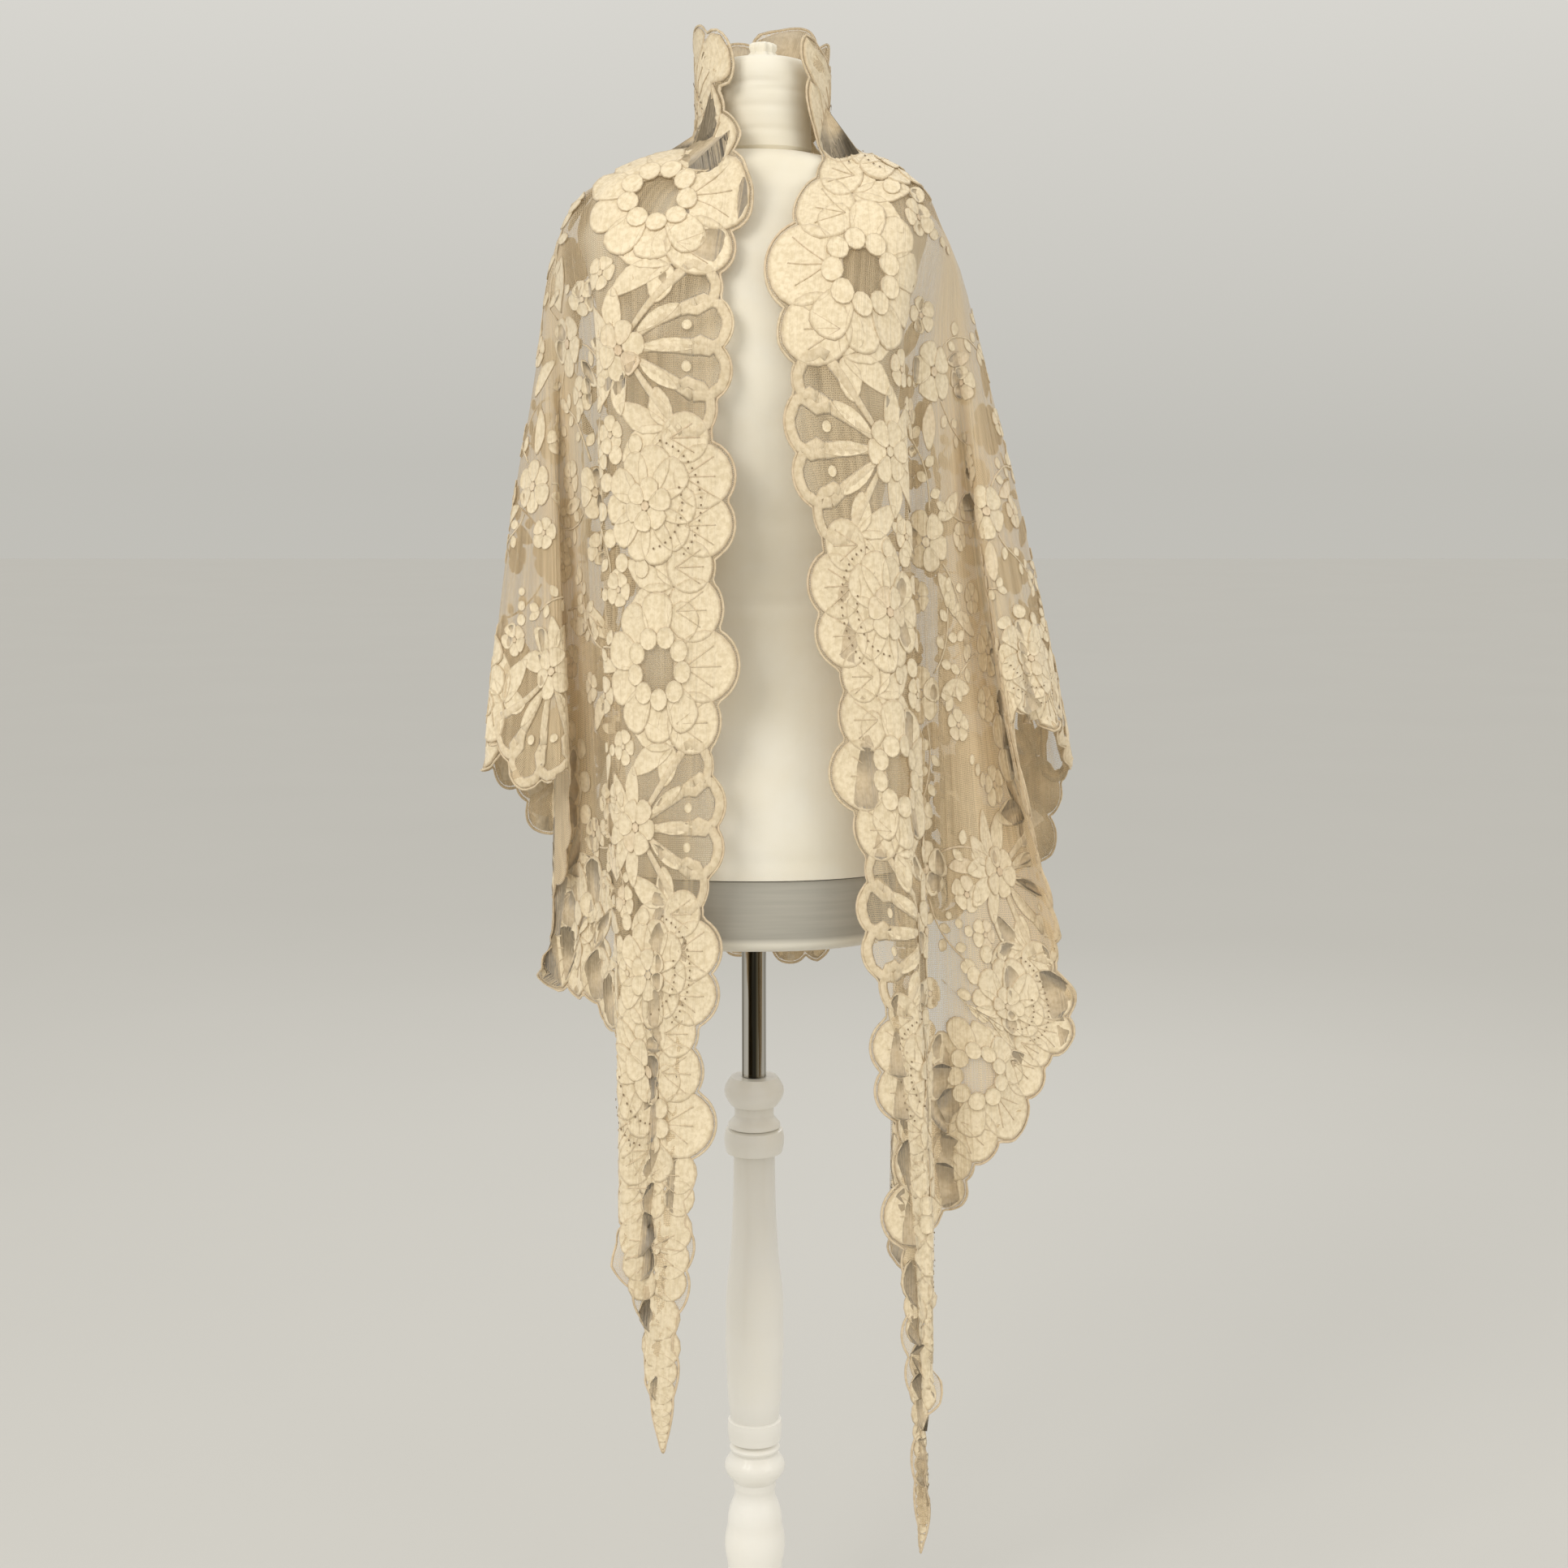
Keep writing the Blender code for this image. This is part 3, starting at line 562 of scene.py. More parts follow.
def across_folds(places):
    """One row of the sheet: a smooth curve through its folds, with no loop where the cloth turns back."""
    knots = np.concatenate([[0], np.cumsum(np.sqrt(np.linalg.norm(np.diff(places, axis=0), axis=1)))])
    shares = np.arange(PLEAT_STEPS) / PLEAT_STEPS
    wanted = knots[:-1, None] + np.diff(knots)[:, None] * shares
    return curve_through(knots, places, np.append(wanted.ravel(), knots[-1]))


def surface_normals(sheet):
    """The unit normal at each place of the sheet, midway between those of the panels round it."""
    facing = unit(np.cross(sheet[1:, 1:] - sheet[:-1, :-1], sheet[:-1, 1:] - sheet[1:, :-1]))
    normals = np.zeros_like(sheet)
    for columns in (slice(None, -1), slice(1, None)):
        for rows in (slice(None, -1), slice(1, None)):
            normals[columns, rows] += facing
    return unit(normals)


def relief(columns, rows, flute):
    """How far the creases and flutes lift each place of the surface off its folds."""
    fold = (np.arange(columns) / PLEAT_STEPS)[:, None]
    bust_row = rows - 1 - HANG_ROWS
    hang = ((np.arange(rows) - bust_row) / HANG_ROWS)[None, :]
    lift = np.zeros((columns, rows))
    reading = table(CREASES, CREASE_COLUMNS)
    for fold_a, hang_a, fold_b, hang_b, width, height in zip(
        *(reading[name] for name in CREASE_COLUMNS[1:])
    ):
        share = np.clip((hang - hang_a) / (hang_b - hang_a), 0, 1)
        middle = fold_a + (fold_b - fold_a) * share
        ends = np.sin(np.pi * share) ** 0.5
        lift += height * ends * np.exp(-(((fold - middle) / width) ** 2))
    wave = sum(size * np.sin(2 * math.pi * rate * fold + start) for rate, start, size in FLUTES)
    tight = sum(np.exp(-(((fold - middle) / TIGHT_REACH) ** 2)) for middle in TIGHT_FOLDS)
    lift += flute * wave * np.clip(hang, 0, 1) ** FLUTE_GROWTH * (1 - TIGHT_CALM * np.clip(tight, 0, 1))
    return lift


def draped_surface(clearance, flute):
    """The places of the whole sheet, [column, row, xyz], left front edge to right."""
    left = fold_lines(-1, (*LEFT_FOLDS, BACK_FOLD))
    right = fold_lines(1, (*RIGHT_FOLDS, BACK_FOLD))
    left[-1] = right[-1] = (left[-1] + right[-1]) / 2
    folds = np.concatenate([left, right[-2::-1]])
    sheet = np.stack([across_folds(folds[:, row]) for row in range(folds.shape[1])], axis=1)
    sheet += surface_normals(sheet) * relief(*sheet.shape[:2], flute)[..., None]
    return clear_of_form(sheet.reshape(-1, 3), clearance).reshape(sheet.shape)


# ---------------------------------------------------------------- the flat cut


# The cut is first eased on a coarse grid, one point in three, then for a few rounds on the whole one
FLAT_STEP = 3
FLAT_ROUNDS = 1500
FINE_ROUNDS = 60
# No panel may shrink below this share of its size while it is eased
LEAST_PANEL = 0.25
GUARDS = 4
EVENEST_PULL = 12.0
# The scallops reach up to this far past the surface's own edge
MARGIN = 0.034
EDGE_SMOOTHINGS = 30
EDGE_REACH = 4
RIM_REACHES = (2, 4)
TIP_FADE = 0.28
TIP_LEAST = 0.08


def thinned(count, step):
    """The numbers from nought to count less one, one in each step, with the last kept."""
    return np.unique(np.append(np.arange(0, count, step), count - 1))


CORNERS = (
    (slice(None, -1), slice(None, -1)),
    (slice(1, None), slice(None, -1)),
    (slice(1, None), slice(1, None)),
    (slice(None, -1), slice(1, None)),
)


def corner_areas(corners):
    """The area spanned at each corner of the flat panels, below nought where one is turned over."""
    ahead = np.roll(corners, -1, axis=2) - corners
    behind = np.roll(corners, 1, axis=2) - corners
    return (ahead.conj() * behind).imag / 2


def relaxed(place, worn, rounds):
    """The flat grid eased until its panels have the shape of the worn ones, with none turned over."""
    corners = np.stack([worn[corner] for corner in CORNERS], axis=2)
    along = unit(corners[:, :, 2] - corners[:, :, 0])
    facing = unit(np.cross(along, corners[:, :, 3] - corners[:, :, 1]))
    beside = np.cross(facing, along)
    away = corners - corners.mean(axis=2, keepdims=True)
    rest = (away * along[:, :, None]).sum(axis=3) + 1j * (away * beside[:, :, None]).sum(axis=3)
    least = LEAST_PANEL * np.abs(corner_areas(rest)).mean(axis=2, keepdims=True)
    count = np.zeros(place.shape)
    for corner in CORNERS:
        count[corner] += 1
    areas = corner_areas(np.stack([place[corner] for corner in CORNERS], axis=2))
    for _ in range(rounds):
        now = np.stack([place[corner] for corner in CORNERS], axis=2)
        middle = now.mean(axis=2, keepdims=True)
        turn = ((now - middle) * rest.conj()).sum(axis=2, keepdims=True)
        goal = middle + rest * turn / np.maximum(np.abs(turn), 1e-12)
        total = np.zeros_like(place)
        for index, corner in enumerate(CORNERS):
            total[corner] += goal[:, :, index]
        moved = total / count
        for edge in ((slice(None), 0), (0, slice(None)), (-1, slice(None))):
            moved[edge] = moved[edge].real
        for _ in range(GUARDS):
            fresh = corner_areas(np.stack([moved[corner] for corner in CORNERS], axis=2))
            bad = ((fresh < least) & (fresh < areas)).any(axis=2)
            if not bad.any():
                break
            held = np.zeros(place.shape, bool)
            for corner in CORNERS:
                held[corner] |= bad
            moved = np.where(held, place, moved)
        place = moved
        areas = corner_areas(np.stack([place[corner] for corner in CORNERS], axis=2))
    return place


def evenly_spread(worn, edge):
    """A flat grid inside a given edge, each place at the balance of its neighbours' pulls."""
    columns, rows = worn.shape[:2]
    number = np.arange(columns * rows).reshape(columns, rows)
    long = np.linalg.norm(np.diff(worn, axis=0), axis=2)
    deep = np.linalg.norm(np.diff(worn, axis=1), axis=2)
    wide = np.pad(long, ((1, 1), (0, 0)), mode="edge")
    high = np.pad(deep, ((0, 0), (1, 1)), mode="edge")
    wide = (wide[1:] + wide[:-1]) / 2
    high = (high[:, 1:] + high[:, :-1]) / 2
    pulls = (
        (number[:-1].ravel(), number[1:].ravel(), ((high[:-1] + high[1:]) / 2 / long).ravel()),
        (number[:, :-1].ravel(), number[:, 1:].ravel(), ((wide[:, :-1] + wide[:, 1:]) / 2 / deep).ravel()),
    )
    balance = np.zeros((columns * rows, columns * rows))
    for here, there, pull in pulls:
        pull = np.clip(pull, 1 / EVENEST_PULL, EVENEST_PULL)
        np.add.at(balance, (here, there), -pull)
        np.add.at(balance, (there, here), -pull)
        np.add.at(balance, (here, here), pull)
        np.add.at(balance, (there, there), pull)
    fixed = np.ones((columns, rows), bool)
    fixed[1:-1, 1:-1] = False
    fixed = fixed.ravel()
    place = edge.ravel().copy()
    load = -balance[~fixed][:, fixed] @ np.stack([place[fixed].real, place[fixed].imag], axis=1)
    inner = np.linalg.solve(balance[~fixed][:, ~fixed], load)
    place[~fixed] = inner[:, 0] + 1j * inner[:, 1]
    return place.reshape(columns, rows)


def flat_cut(sheet):
    """The sheet laid flat: the place of each of its points in the cut, along the long edge and in."""
    columns = thinned(sheet.shape[0], FLAT_STEP)
    rows = thinned(sheet.shape[1], FLAT_STEP)
    worn = sheet[np.ix_(columns, rows)]
    middle = len(columns) // 2
    hem = run_along(sheet[:, -1])[columns]
    spread = (hem - hem[middle]) / np.where(hem < hem[middle], hem[middle], hem[-1] - hem[middle])
    falls = np.cumsum(np.linalg.norm(np.diff(worn, axis=1), axis=2), axis=1)
    start = run_along(worn[:, 0])
    start -= start[middle]
    flat = np.zeros(worn.shape[:2], complex)
    flat[:, 0] = start
    flat[0, 1:] = start[0] - falls[0]
    flat[-1, 1:] = start[-1] + falls[-1]
    turn = np.radians(90) * spread[1:-1]
    flat[1:-1, -1] = start[1:-1] + falls[1:-1, -1] * (np.sin(turn) + 1j * np.cos(turn))
    flat = relaxed(evenly_spread(worn, flat), worn, FLAT_ROUNDS)
    flat = np.stack([np.interp(np.arange(sheet.shape[0]), columns, line) for line in flat.T], axis=1)
    flat = np.stack([np.interp(np.arange(sheet.shape[1]), rows, line) for line in flat], axis=0)
    flat = relaxed(flat, sheet, FINE_ROUNDS)
    return np.stack([flat.real, flat.imag], axis=2)


def tip_fade(along, tips):
    """How much of the scallops is left at each length along the edge, less close to the tips."""
    near = np.min([np.abs(along - tip) for tip in tips], axis=0)
    return np.clip(near / TIP_FADE, TIP_LEAST, 1)


class Cloth:
    """The draped surface and its flat cut, and the way from one to the other."""

    def __init__(self, clearance, flute):
        sheet = draped_surface(clearance, flute)
        self.inside = flat_cut(sheet)
        columns, rows = sheet.shape[:2]
        number = np.arange(columns * rows).reshape(columns, rows)
        rim = np.concatenate([number[0, ::-1], number[1:, 0], number[-1, 1:], number[-2:0:-1, -1]])
        self.shape = sheet.reshape(-1, 3)
        self.facing = surface_normals(sheet).reshape(-1, 3)
        self.flat_points = self.inside.reshape(-1, 2)
        ahead = np.zeros((len(rim), 3))
        flat_ahead = np.zeros((len(rim), 2))
        for reach in RIM_REACHES:
            for total, line in ((ahead, self.shape[rim]), (flat_ahead, self.flat_points[rim])):
                total += unit(np.roll(line, -reach, axis=0) - np.roll(line, reach, axis=0))
        reach = run_along(self.flat_points[np.append(rim, rim[0])])
        fade = tip_fade(reach[:-1], (0.0, reach[2 * rows + columns - 3], reach[-1]))
        margin = (MARGIN * fade)[:, None]
        outward = unit(np.cross(ahead, self.facing[rim])) * margin
        flat_out = unit(np.stack([flat_ahead[:, 1], -flat_ahead[:, 0]], axis=1)) * margin
        inner = np.concatenate([number[1, ::-1], number[1:, 1], number[-2, 1:], number[-2:0:-1, -2]])
        outward *= np.sign(np.sum((self.shape[rim] - self.shape[inner]) * outward))
        across = np.repeat(np.arange(columns), rows) / PLEAT_STEPS
        down = np.tile(np.arange(rows), columns) / rows
        self.shape = np.vstack([self.shape, self.shape[rim] + outward])
        self.facing = np.vstack([self.facing, self.facing[rim]])
        self.flat_points = np.vstack([self.flat_points, self.flat_points[rim] + flat_out])
        self.grid_place = np.stack([np.append(across, across[rim]), np.append(down, down[rim])], axis=1)
        corner = number[:-1, :-1].ravel()
        ring = columns * rows + np.arange(len(rim))
        after = np.roll(ring, -1)
        rim_after = np.roll(rim, -1)
        self.triangles = np.concatenate(
            [
                np.stack([corner, corner + rows, corner + rows + 1], axis=1),
                np.stack([corner, corner + rows + 1, corner + 1], axis=1),
                np.stack([ring, after, rim_after], axis=1),
                np.stack([ring, rim_after, rim], axis=1),
            ]
        )
        lifted = np.pad(self.flat_points, ((0, 0), (0, 1)))
        self.tree = BVHTree.FromPolygons(lifted.tolist(), self.triangles.tolist())
        self.edge = self.edge_line()

    def edge_line(self):
        """The edge of the cut as one even closed line: along the long edge, then back by the hem."""
        flat = self.inside
        loop = np.concatenate([flat[0, ::-1], flat[1:, 0], flat[-1, 1:], flat[-2::-1, -1]])
        reach = run_along(loop)
        columns, rows = flat.shape[:2]
        tip = 2 * rows + columns - 3
        self.corners = tuple(
            float(reach[place]) for place in (rows - 1 + columns // 2, tip, tip + columns // 2)
        )
        self.edge_length = float(reach[-1])
        even = np.linspace(0, reach[-1], int(reach[-1] / OUTLINE_STEP) + 1)[:-1]
        line = np.stack([np.interp(even, reach, loop[:, axis]) for axis in range(2)], axis=1)
        for _ in range(EDGE_SMOOTHINGS):
            line = (np.roll(line, 1, axis=0) + 2 * line + np.roll(line, -1, axis=0)) / 4
        return line

    def edge_frame(self):
        """The even edge line with its inward direction."""
        line = self.edge
        ahead = np.roll(line, -EDGE_REACH, axis=0) - np.roll(line, EDGE_REACH, axis=0)
        return line, unit(np.stack([-ahead[:, 1], ahead[:, 0]], axis=1))

    def along_edge(self, along, inward_by):
        """Flat places from lengths along the edge and distances in from it."""
        line, inward = self.edge_frame()
        at = np.asarray(along) / self.edge_length * len(line)
        low = np.floor(at).astype(int)
        part = (at - low)[:, None]
        low %= len(line)
        high = (low + 1) % len(line)
        place = line[low] * (1 - part) + line[high] * part
        way = unit(inward[low] * (1 - part) + inward[high] * part)
        return place + way * np.asarray(inward_by)[:, None]

    def worn(self, flat_places, heights):
        """The draped places of flat ones, each raised off the cloth by its height."""
        corners = np.empty((len(flat_places), 3), int)
        found = np.empty((len(flat_places), 2))
        for index, (x, y) in enumerate(flat_places.tolist()):
            place, _, face, _ = self.tree.find_nearest((x, y, 0.0))
            found[index] = place[:2]
            corners[index] = self.triangles[face]
        a, b, c = (self.flat_points[corners[:, n]] for n in range(3))
        area = flat_cross(b - a, c - a)
        area = np.where(np.abs(area) < 1e-12, 1e-12, area)
        v = flat_cross(found - a, c - a)
        w = flat_cross(b - a, found - a)
        weights = np.clip(np.stack([1 - (v + w) / area, v / area, w / area], axis=1), 0, 1)
        weights /= weights.sum(axis=1)[:, None]
        points = (self.shape[corners] * weights[..., None]).sum(axis=1)
        normals = unit((self.facing[corners] * weights[..., None]).sum(axis=1))
        across, down = (self.grid_place[corners] * weights[..., None]).sum(axis=1).T
        return points + normals * np.asarray(heights)[:, None], across, down


# ---------------------------------------------------------------- motifs, drawn in the flat


class Drawing:
    """Thin raised shapes gathered in the flat, to be carried onto the cloth as one mesh."""

    def __init__(self):
        self.places = []
        self.heights = []
        self.rims = []
        self.tones = []
        self.faces = []
        self.count = 0

    def add(self, places, heights, rims, tone, faces):
        """More points of the drawing, with faces that number them from nought."""
        self.places.append(places)
        self.heights.append(heights)
        self.rims.append(rims)
        self.tones.append(np.full(len(places), tone))
        start = self.count
        self.faces.extend(tuple(start + corner for corner in face) for face in faces)
        self.count += len(places)

    def blade(self, outline, tone, lift=0.0, relief=0.0011, fold=0.0):
        """A closed lens with a corded rim, from the outline of a petal or a leaf."""
        if outline is None:
            return
        outline = np.asarray(outline)
        number = len(outline)
        middle = outline.mean(axis=0)
        rings = ((1.0, 0.1, 1.0), (0.955, 1.0, 0.8), (0.87, 0.6, 0.0), (0.45, 0.85 - fold, 0.0))
        places = [middle + (outline - middle) * share for share, _, _ in rings]
        heights = [np.full(number, lift + relief * rise) for _, rise, _ in rings]
        rims = [np.full(number, rim) for _, _, rim in rings]
        places.append(middle[None])
        heights.append([lift + relief * (0.85 - 1.3 * fold)])
        rims.append([0.0])
        faces = band_faces(len(rings), number)
        last = (len(rings) - 1) * number
        faces += [(last + place, last + (place + 1) % number, last + number) for place in range(number)]
        faces.append(tuple(reversed(range(number))))
        self.add(np.vstack(places), np.concatenate(heights), np.concatenate(rims), tone, faces)

    def cord(self, path, width, tone, rim=0.5, relief=0.0010, lift=0.0, closed=False):
        """A low round cord along a path."""
        if path is None:
            return
        path = np.asarray(path)
        if closed:
            ahead = np.roll(path, -1, axis=0) - np.roll(path, 1, axis=0)
        else:
            ahead = np.gradient(path, axis=0)
        side = unit(np.stack([-ahead[:, 1], ahead[:, 0]], axis=1))
        number = len(path)
        width = np.broadcast_to(width, (number,))[:, None]
        lines = ((-0.5, 0.0, 1.0), (-0.28, 0.85, 0.6), (0.28, 0.85, 0.6), (0.5, 0.0, 1.0))
        places = np.vstack([path + side * width * share for share, _, _ in lines])
        heights = np.concatenate([np.full(number, lift + relief * rise) for _, rise, _ in lines])
        rims = np.concatenate([np.full(number, rim * edge) for _, _, edge in lines])
        faces = []
        spans = number if closed else number - 1
        for line in range(4):
            for place in range(spans):
                after = (place + 1) % number
                here = line * number
                beside = (line + 1) % 4 * number
                faces.append((here + place, here + after, beside + after, beside + place))
        if not closed:
            faces.append((0, number, 2 * number, 3 * number))
            faces.append((4 * number - 1, 3 * number - 1, 2 * number - 1, number - 1))
        self.add(places, heights, rims, tone, faces)


def petal_outline(base, angle, length, width, notch=0.0, points=14):
    """A rounded petal from its base outwards, with a dip in its tip if notch is above nought."""
    turn = once_round(points)
    reach = 0.5 - 0.5 * np.cos(turn)
    across = np.sin(turn) * (0.55 + 0.45 * reach)
    reach = reach - notch * np.exp(-((np.sin(turn / 2) ** 2 - 1) ** 2) / 0.01)
    return turned(np.stack([across * width / 2, reach * length], axis=1), base, angle)


def leaf_outline(base, angle, length, width, bend=0.0, points=14):
    """A pointed leaf from its base outwards, bent to one side."""
    turn = once_round(points)
    reach = 0.5 - 0.5 * np.cos(turn)
    across = np.sin(turn) * np.sqrt(np.sin(np.clip(reach, 0, 1) * math.pi) * 0.6 + 0.4) * 0.5
    across = across * width + bend * np.sin(reach * math.pi) * length
    return turned(np.stack([across, reach * length], axis=1), base, angle)


def disc_outline(centre, radius, points=10, stretch=1.0, angle=0.0):
    """A round or oval dot."""
    turn = once_round(points)
    shape = np.stack([np.cos(turn) * radius, np.sin(turn) * radius * stretch], axis=1)
    return turned(shape, centre, angle)


def turned(shape, place, angle):
    """The shape turned by the angle and moved to its place."""
    c, s = math.cos(angle), math.sin(angle)
    return shape @ np.array([[c, s], [-s, c]]) + np.asarray(place)


def heading(angle, reach):
    """The step that a shape turned by the angle takes along its own length."""
    return np.array([-math.sin(angle), math.cos(angle)]) * reach


def draw_blossom(drawing, centre, radius, petals, turn, chance, lift=0.0, carry=None):
    """A flower of rounded petals round a small eye."""
    carry = carry or (lambda shape: shape)
    for number in range(petals):
        angle = turn + 2 * math.pi * number / petals
        size = radius * chance.uniform(0.9, 1.08)
        width = 2 * math.pi * radius / petals * chance.uniform(0.86, 0.98)
        base = np.asarray(centre) + heading(angle, radius * 0.14)
        shape = petal_outline(base, angle, size * 0.9, width, chance.uniform(0.0, 0.10))
        tone = chance.uniform(0.35, 1.0)
        drawing.blade(carry(shape), tone, lift + 0.0003 * (number % 2), fold=0.4)
    eye = disc_outline(centre, radius * 0.17, 8)
    drawing.blade(carry(eye), 0.2, lift + 0.0011, 0.0009)


def draw_leaf_chain(drawing, start, angle, leaves, size, bend, chance):
    """A curved stem with small round leaves on both sides and one at its tip."""
    place = np.asarray(start, float)
    path = [place]
    for number in range(leaves):
        angle += bend
        place = place + heading(angle, size * 1.05)
        path.append(place)
        side = 1 if number % 2 else -1
        out = angle + side * chance.uniform(0.9, 1.2)
        shape = leaf_outline(
            place + heading(out, size * 0.12), out, size * chance.uniform(1.0, 1.25), size * 0.82
        )
        drawing.blade(shape, chance.uniform(0.4, 1.0))
    drawing.blade(leaf_outline(place, angle, size * 1.3, size * 0.8), chance.uniform(0.5, 1.0))
    knots = np.arange(len(path), dtype=float)
    wanted = np.linspace(0, knots[-1], len(path) * 2)
    drawing.cord(curve_through(knots, np.array(path), wanted), 0.0022, 0.4, 0.9)


def draw_spray(drawing, centre, angle, chance, free):
    """A spray of the field: a blossom, two lesser ones, leaf chains and long leaves."""
    centre = np.asarray(centre)
    draw_blossom(drawing, centre, 0.027 * chance.uniform(0.9, 1.1), chance.integers(5, 7), angle, chance)
    for turn, reach, radius in ((0.55, 0.052, 0.018), (2.5, 0.050, 0.0165), (-1.75, 0.054, 0.015)):
        place = centre + heading(angle + turn, reach)
        if free(place):
            draw_blossom(drawing, place, radius, 5, angle + turn * 2, chance)
    for turn, bend, leaves in ((-0.55, 0.17, 5), (1.55, -0.2, 5), (-2.6, -0.15, 6)):
        start = centre + heading(angle + turn, 0.028)
        if free(centre + heading(angle + turn, 0.060)):
            draw_leaf_chain(drawing, start, angle + turn, leaves, 0.0125, bend, chance)
    for turn, length in ((-1.15, 0.044), (3.3, 0.046), (1.05, 0.038)):
        start = centre + heading(angle + turn, 0.029)
        if free(centre + heading(angle + turn, 0.055)):
            shape = leaf_outline(start, angle + turn, length, length * 0.40, chance.uniform(-0.1, 0.1))
            drawing.blade(shape, chance.uniform(0.3, 0.9), fold=0.5)


def lobes_of(part):
    """The lobes of one part of the border: along, inward and radius."""
    return [row[1:] for row in LOBES if row[0] == part]


def draw_lobes(drawing, carry, chance, part):
    """The outer petals of one part, one to each lobe, with veins."""
    for along, inward, radius in lobes_of(part):
        inner = radius - 0.0012
        petal = disc_outline((along, inward + 0.003), inner, 20, 1.08)
        drawing.blade(carry(petal), chance.uniform(0.6, 1.0), 0.0002, 0.0016, 0.25)
        for lean in (-0.5, 0.0, 0.5):
            foot = np.array([along, inward + radius * 0.75])
            head = foot + heading(math.pi + lean, radius * chance.uniform(1.0, 1.25))
            drawing.cord(carry(np.linspace(foot, head, 5)), 0.0011, 0.3, 0.9, 0.0007, 0.0012)


def draw_fan(drawing, carry, chance, filled):
    """A fan of net windows between corded ribs, spread from a small flower."""
    root = np.array([0.067, 0.098])
    turn = np.linspace(-0.12 * math.pi, 1.12 * math.pi, 13)
    for along, inward, radius in () if filled else lobes_of("fan"):
        inner = radius - 0.0055
        wavy = inner + 0.0012 * np.cos(9 * turn)
        arc = np.stack([along + wavy * np.cos(turn), inward - wavy * np.sin(turn)], axis=1)
        drawing.cord(carry(arc), 0.0115, chance.uniform(0.7, 1.0), 0.8, 0.0016, 0.0003)
        for end in arc[[0, -1]]:
            line = np.linspace(end, root + (end - root) * 0.22, 7)
            width = np.linspace(0.0115, 0.0060, 7)
            drawing.cord(carry(line), width, chance.uniform(0.7, 1.0), 0.8, 0.0015)
    for along, inward, length in ((0.033, 0.045, 0.045), (0.067, 0.030, 0.055), (0.101, 0.045, 0.045)):
        way = np.array([along, inward]) - root
        angle = math.atan2(-way[0], way[1])
        shape = leaf_outline(root + unit(way) * 0.022, angle, length, 0.0125)
        drawing.blade(carry(shape), chance.uniform(0.6, 1.0), 0.0006, fold=0.4)
    for along, inward in ((0.050, 0.034), (0.084, 0.034)):
        drawing.blade(carry(disc_outline((along, inward), 0.0048, 10)), 0.9, 0.0006)
    leaves = ((0.9, 0.046), (-0.9, 0.046), (0.3, 0.040), (-0.35, 0.042), (1.5, 0.042), (-1.5, 0.042))
    for angle, length in leaves:
        foot = root + heading(angle, 0.012)
        shape = leaf_outline(foot, angle, length, 0.021, 0.10 * math.copysign(1, angle))
        drawing.blade(carry(shape), chance.uniform(0.5, 1.0), 0.0003, fold=0.5)
    draw_blossom(drawing, root, 0.026, 6, chance.uniform(0, 6), chance, 0.0012, carry)


def draw_rose(drawing, carry, chance):
    """A wreath rose: an open net centre in a ring of dots, with broad petals outside."""
    centre = np.array([ROSE_PLACE, 0.070])
    draw_lobes(drawing, carry, chance, "rose")
    for number, angle in enumerate((-2.2, -1.57, -0.95, -0.32, 0.32, 0.95, 1.57, 2.2)):
        foot = centre + heading(angle, 0.019)
        shape = petal_outline(foot, angle, 0.047, 0.042, 0.04, 18)
        drawing.blade(carry(shape), chance.uniform(0.6, 1.0), 0.0004 + 0.0005 * (number % 2), 0.0015, 0.4)
    for number in range(9):
        angle = 2 * math.pi * number / 9 + 0.2
        spot = centre + heading(angle, 0.0265)
        drawing.blade(carry(disc_outline(spot, 0.0098, 12)), chance.uniform(0.8, 1.0), 0.0018, 0.0018)


def draw_peony(drawing, carry, chance):
    """A full peony of three rows of petals with arcs of punched eyelets."""
    root = np.array([0.338, 0.078])
    draw_lobes(drawing, carry, chance, "peony")
    for number, angle in enumerate((2.45, -2.45, 3.1, 1.85, -1.85)):
        shape = petal_outline(root + heading(angle, 0.004), angle, 0.050, 0.040, 0.06, 18)
        drawing.blade(carry(shape), chance.uniform(0.6, 1.0), 0.0007 + 0.0003 * (number % 2), 0.0016, 0.5)
    for number, angle in enumerate((1.25, 0.62, 0.0, -0.62, -1.25)):
        shape = petal_outline(root + heading(angle, 0.006), angle, 0.044, 0.034, 0.05, 16)
        drawing.blade(carry(shape), chance.uniform(0.6, 1.0), 0.0006 + 0.0004 * (number % 2), 0.0014, 0.5)
    draw_blossom(drawing, root, 0.024, 6, chance.uniform(0, 6), chance, 0.0022, carry)
    # Eyelets are small discs with tone below nought, which the lace material colours dark as painted shade
    # in place of open eyelets.
    for reach, low, high in ((0.036, 1.75, 3.6), (0.055, 2.3, 4.4)):
        for angle in np.arange(low, high, 0.0064 / reach):
            spot = root + heading(angle, reach)
            drawing.blade(carry(disc_outline(spot, 0.0011, 6)), -1.0, 0.0026, 0.0003)
    for number, angle in enumerate(np.arange(-1.4, 1.5, 0.47)):
        spot = root + heading(angle, 0.052 + 0.004 * (number % 2))
        drawing.blade(carry(disc_outline(spot, 0.0085, 12)), chance.uniform(0.7, 1.0), 0.0004, 0.0013)


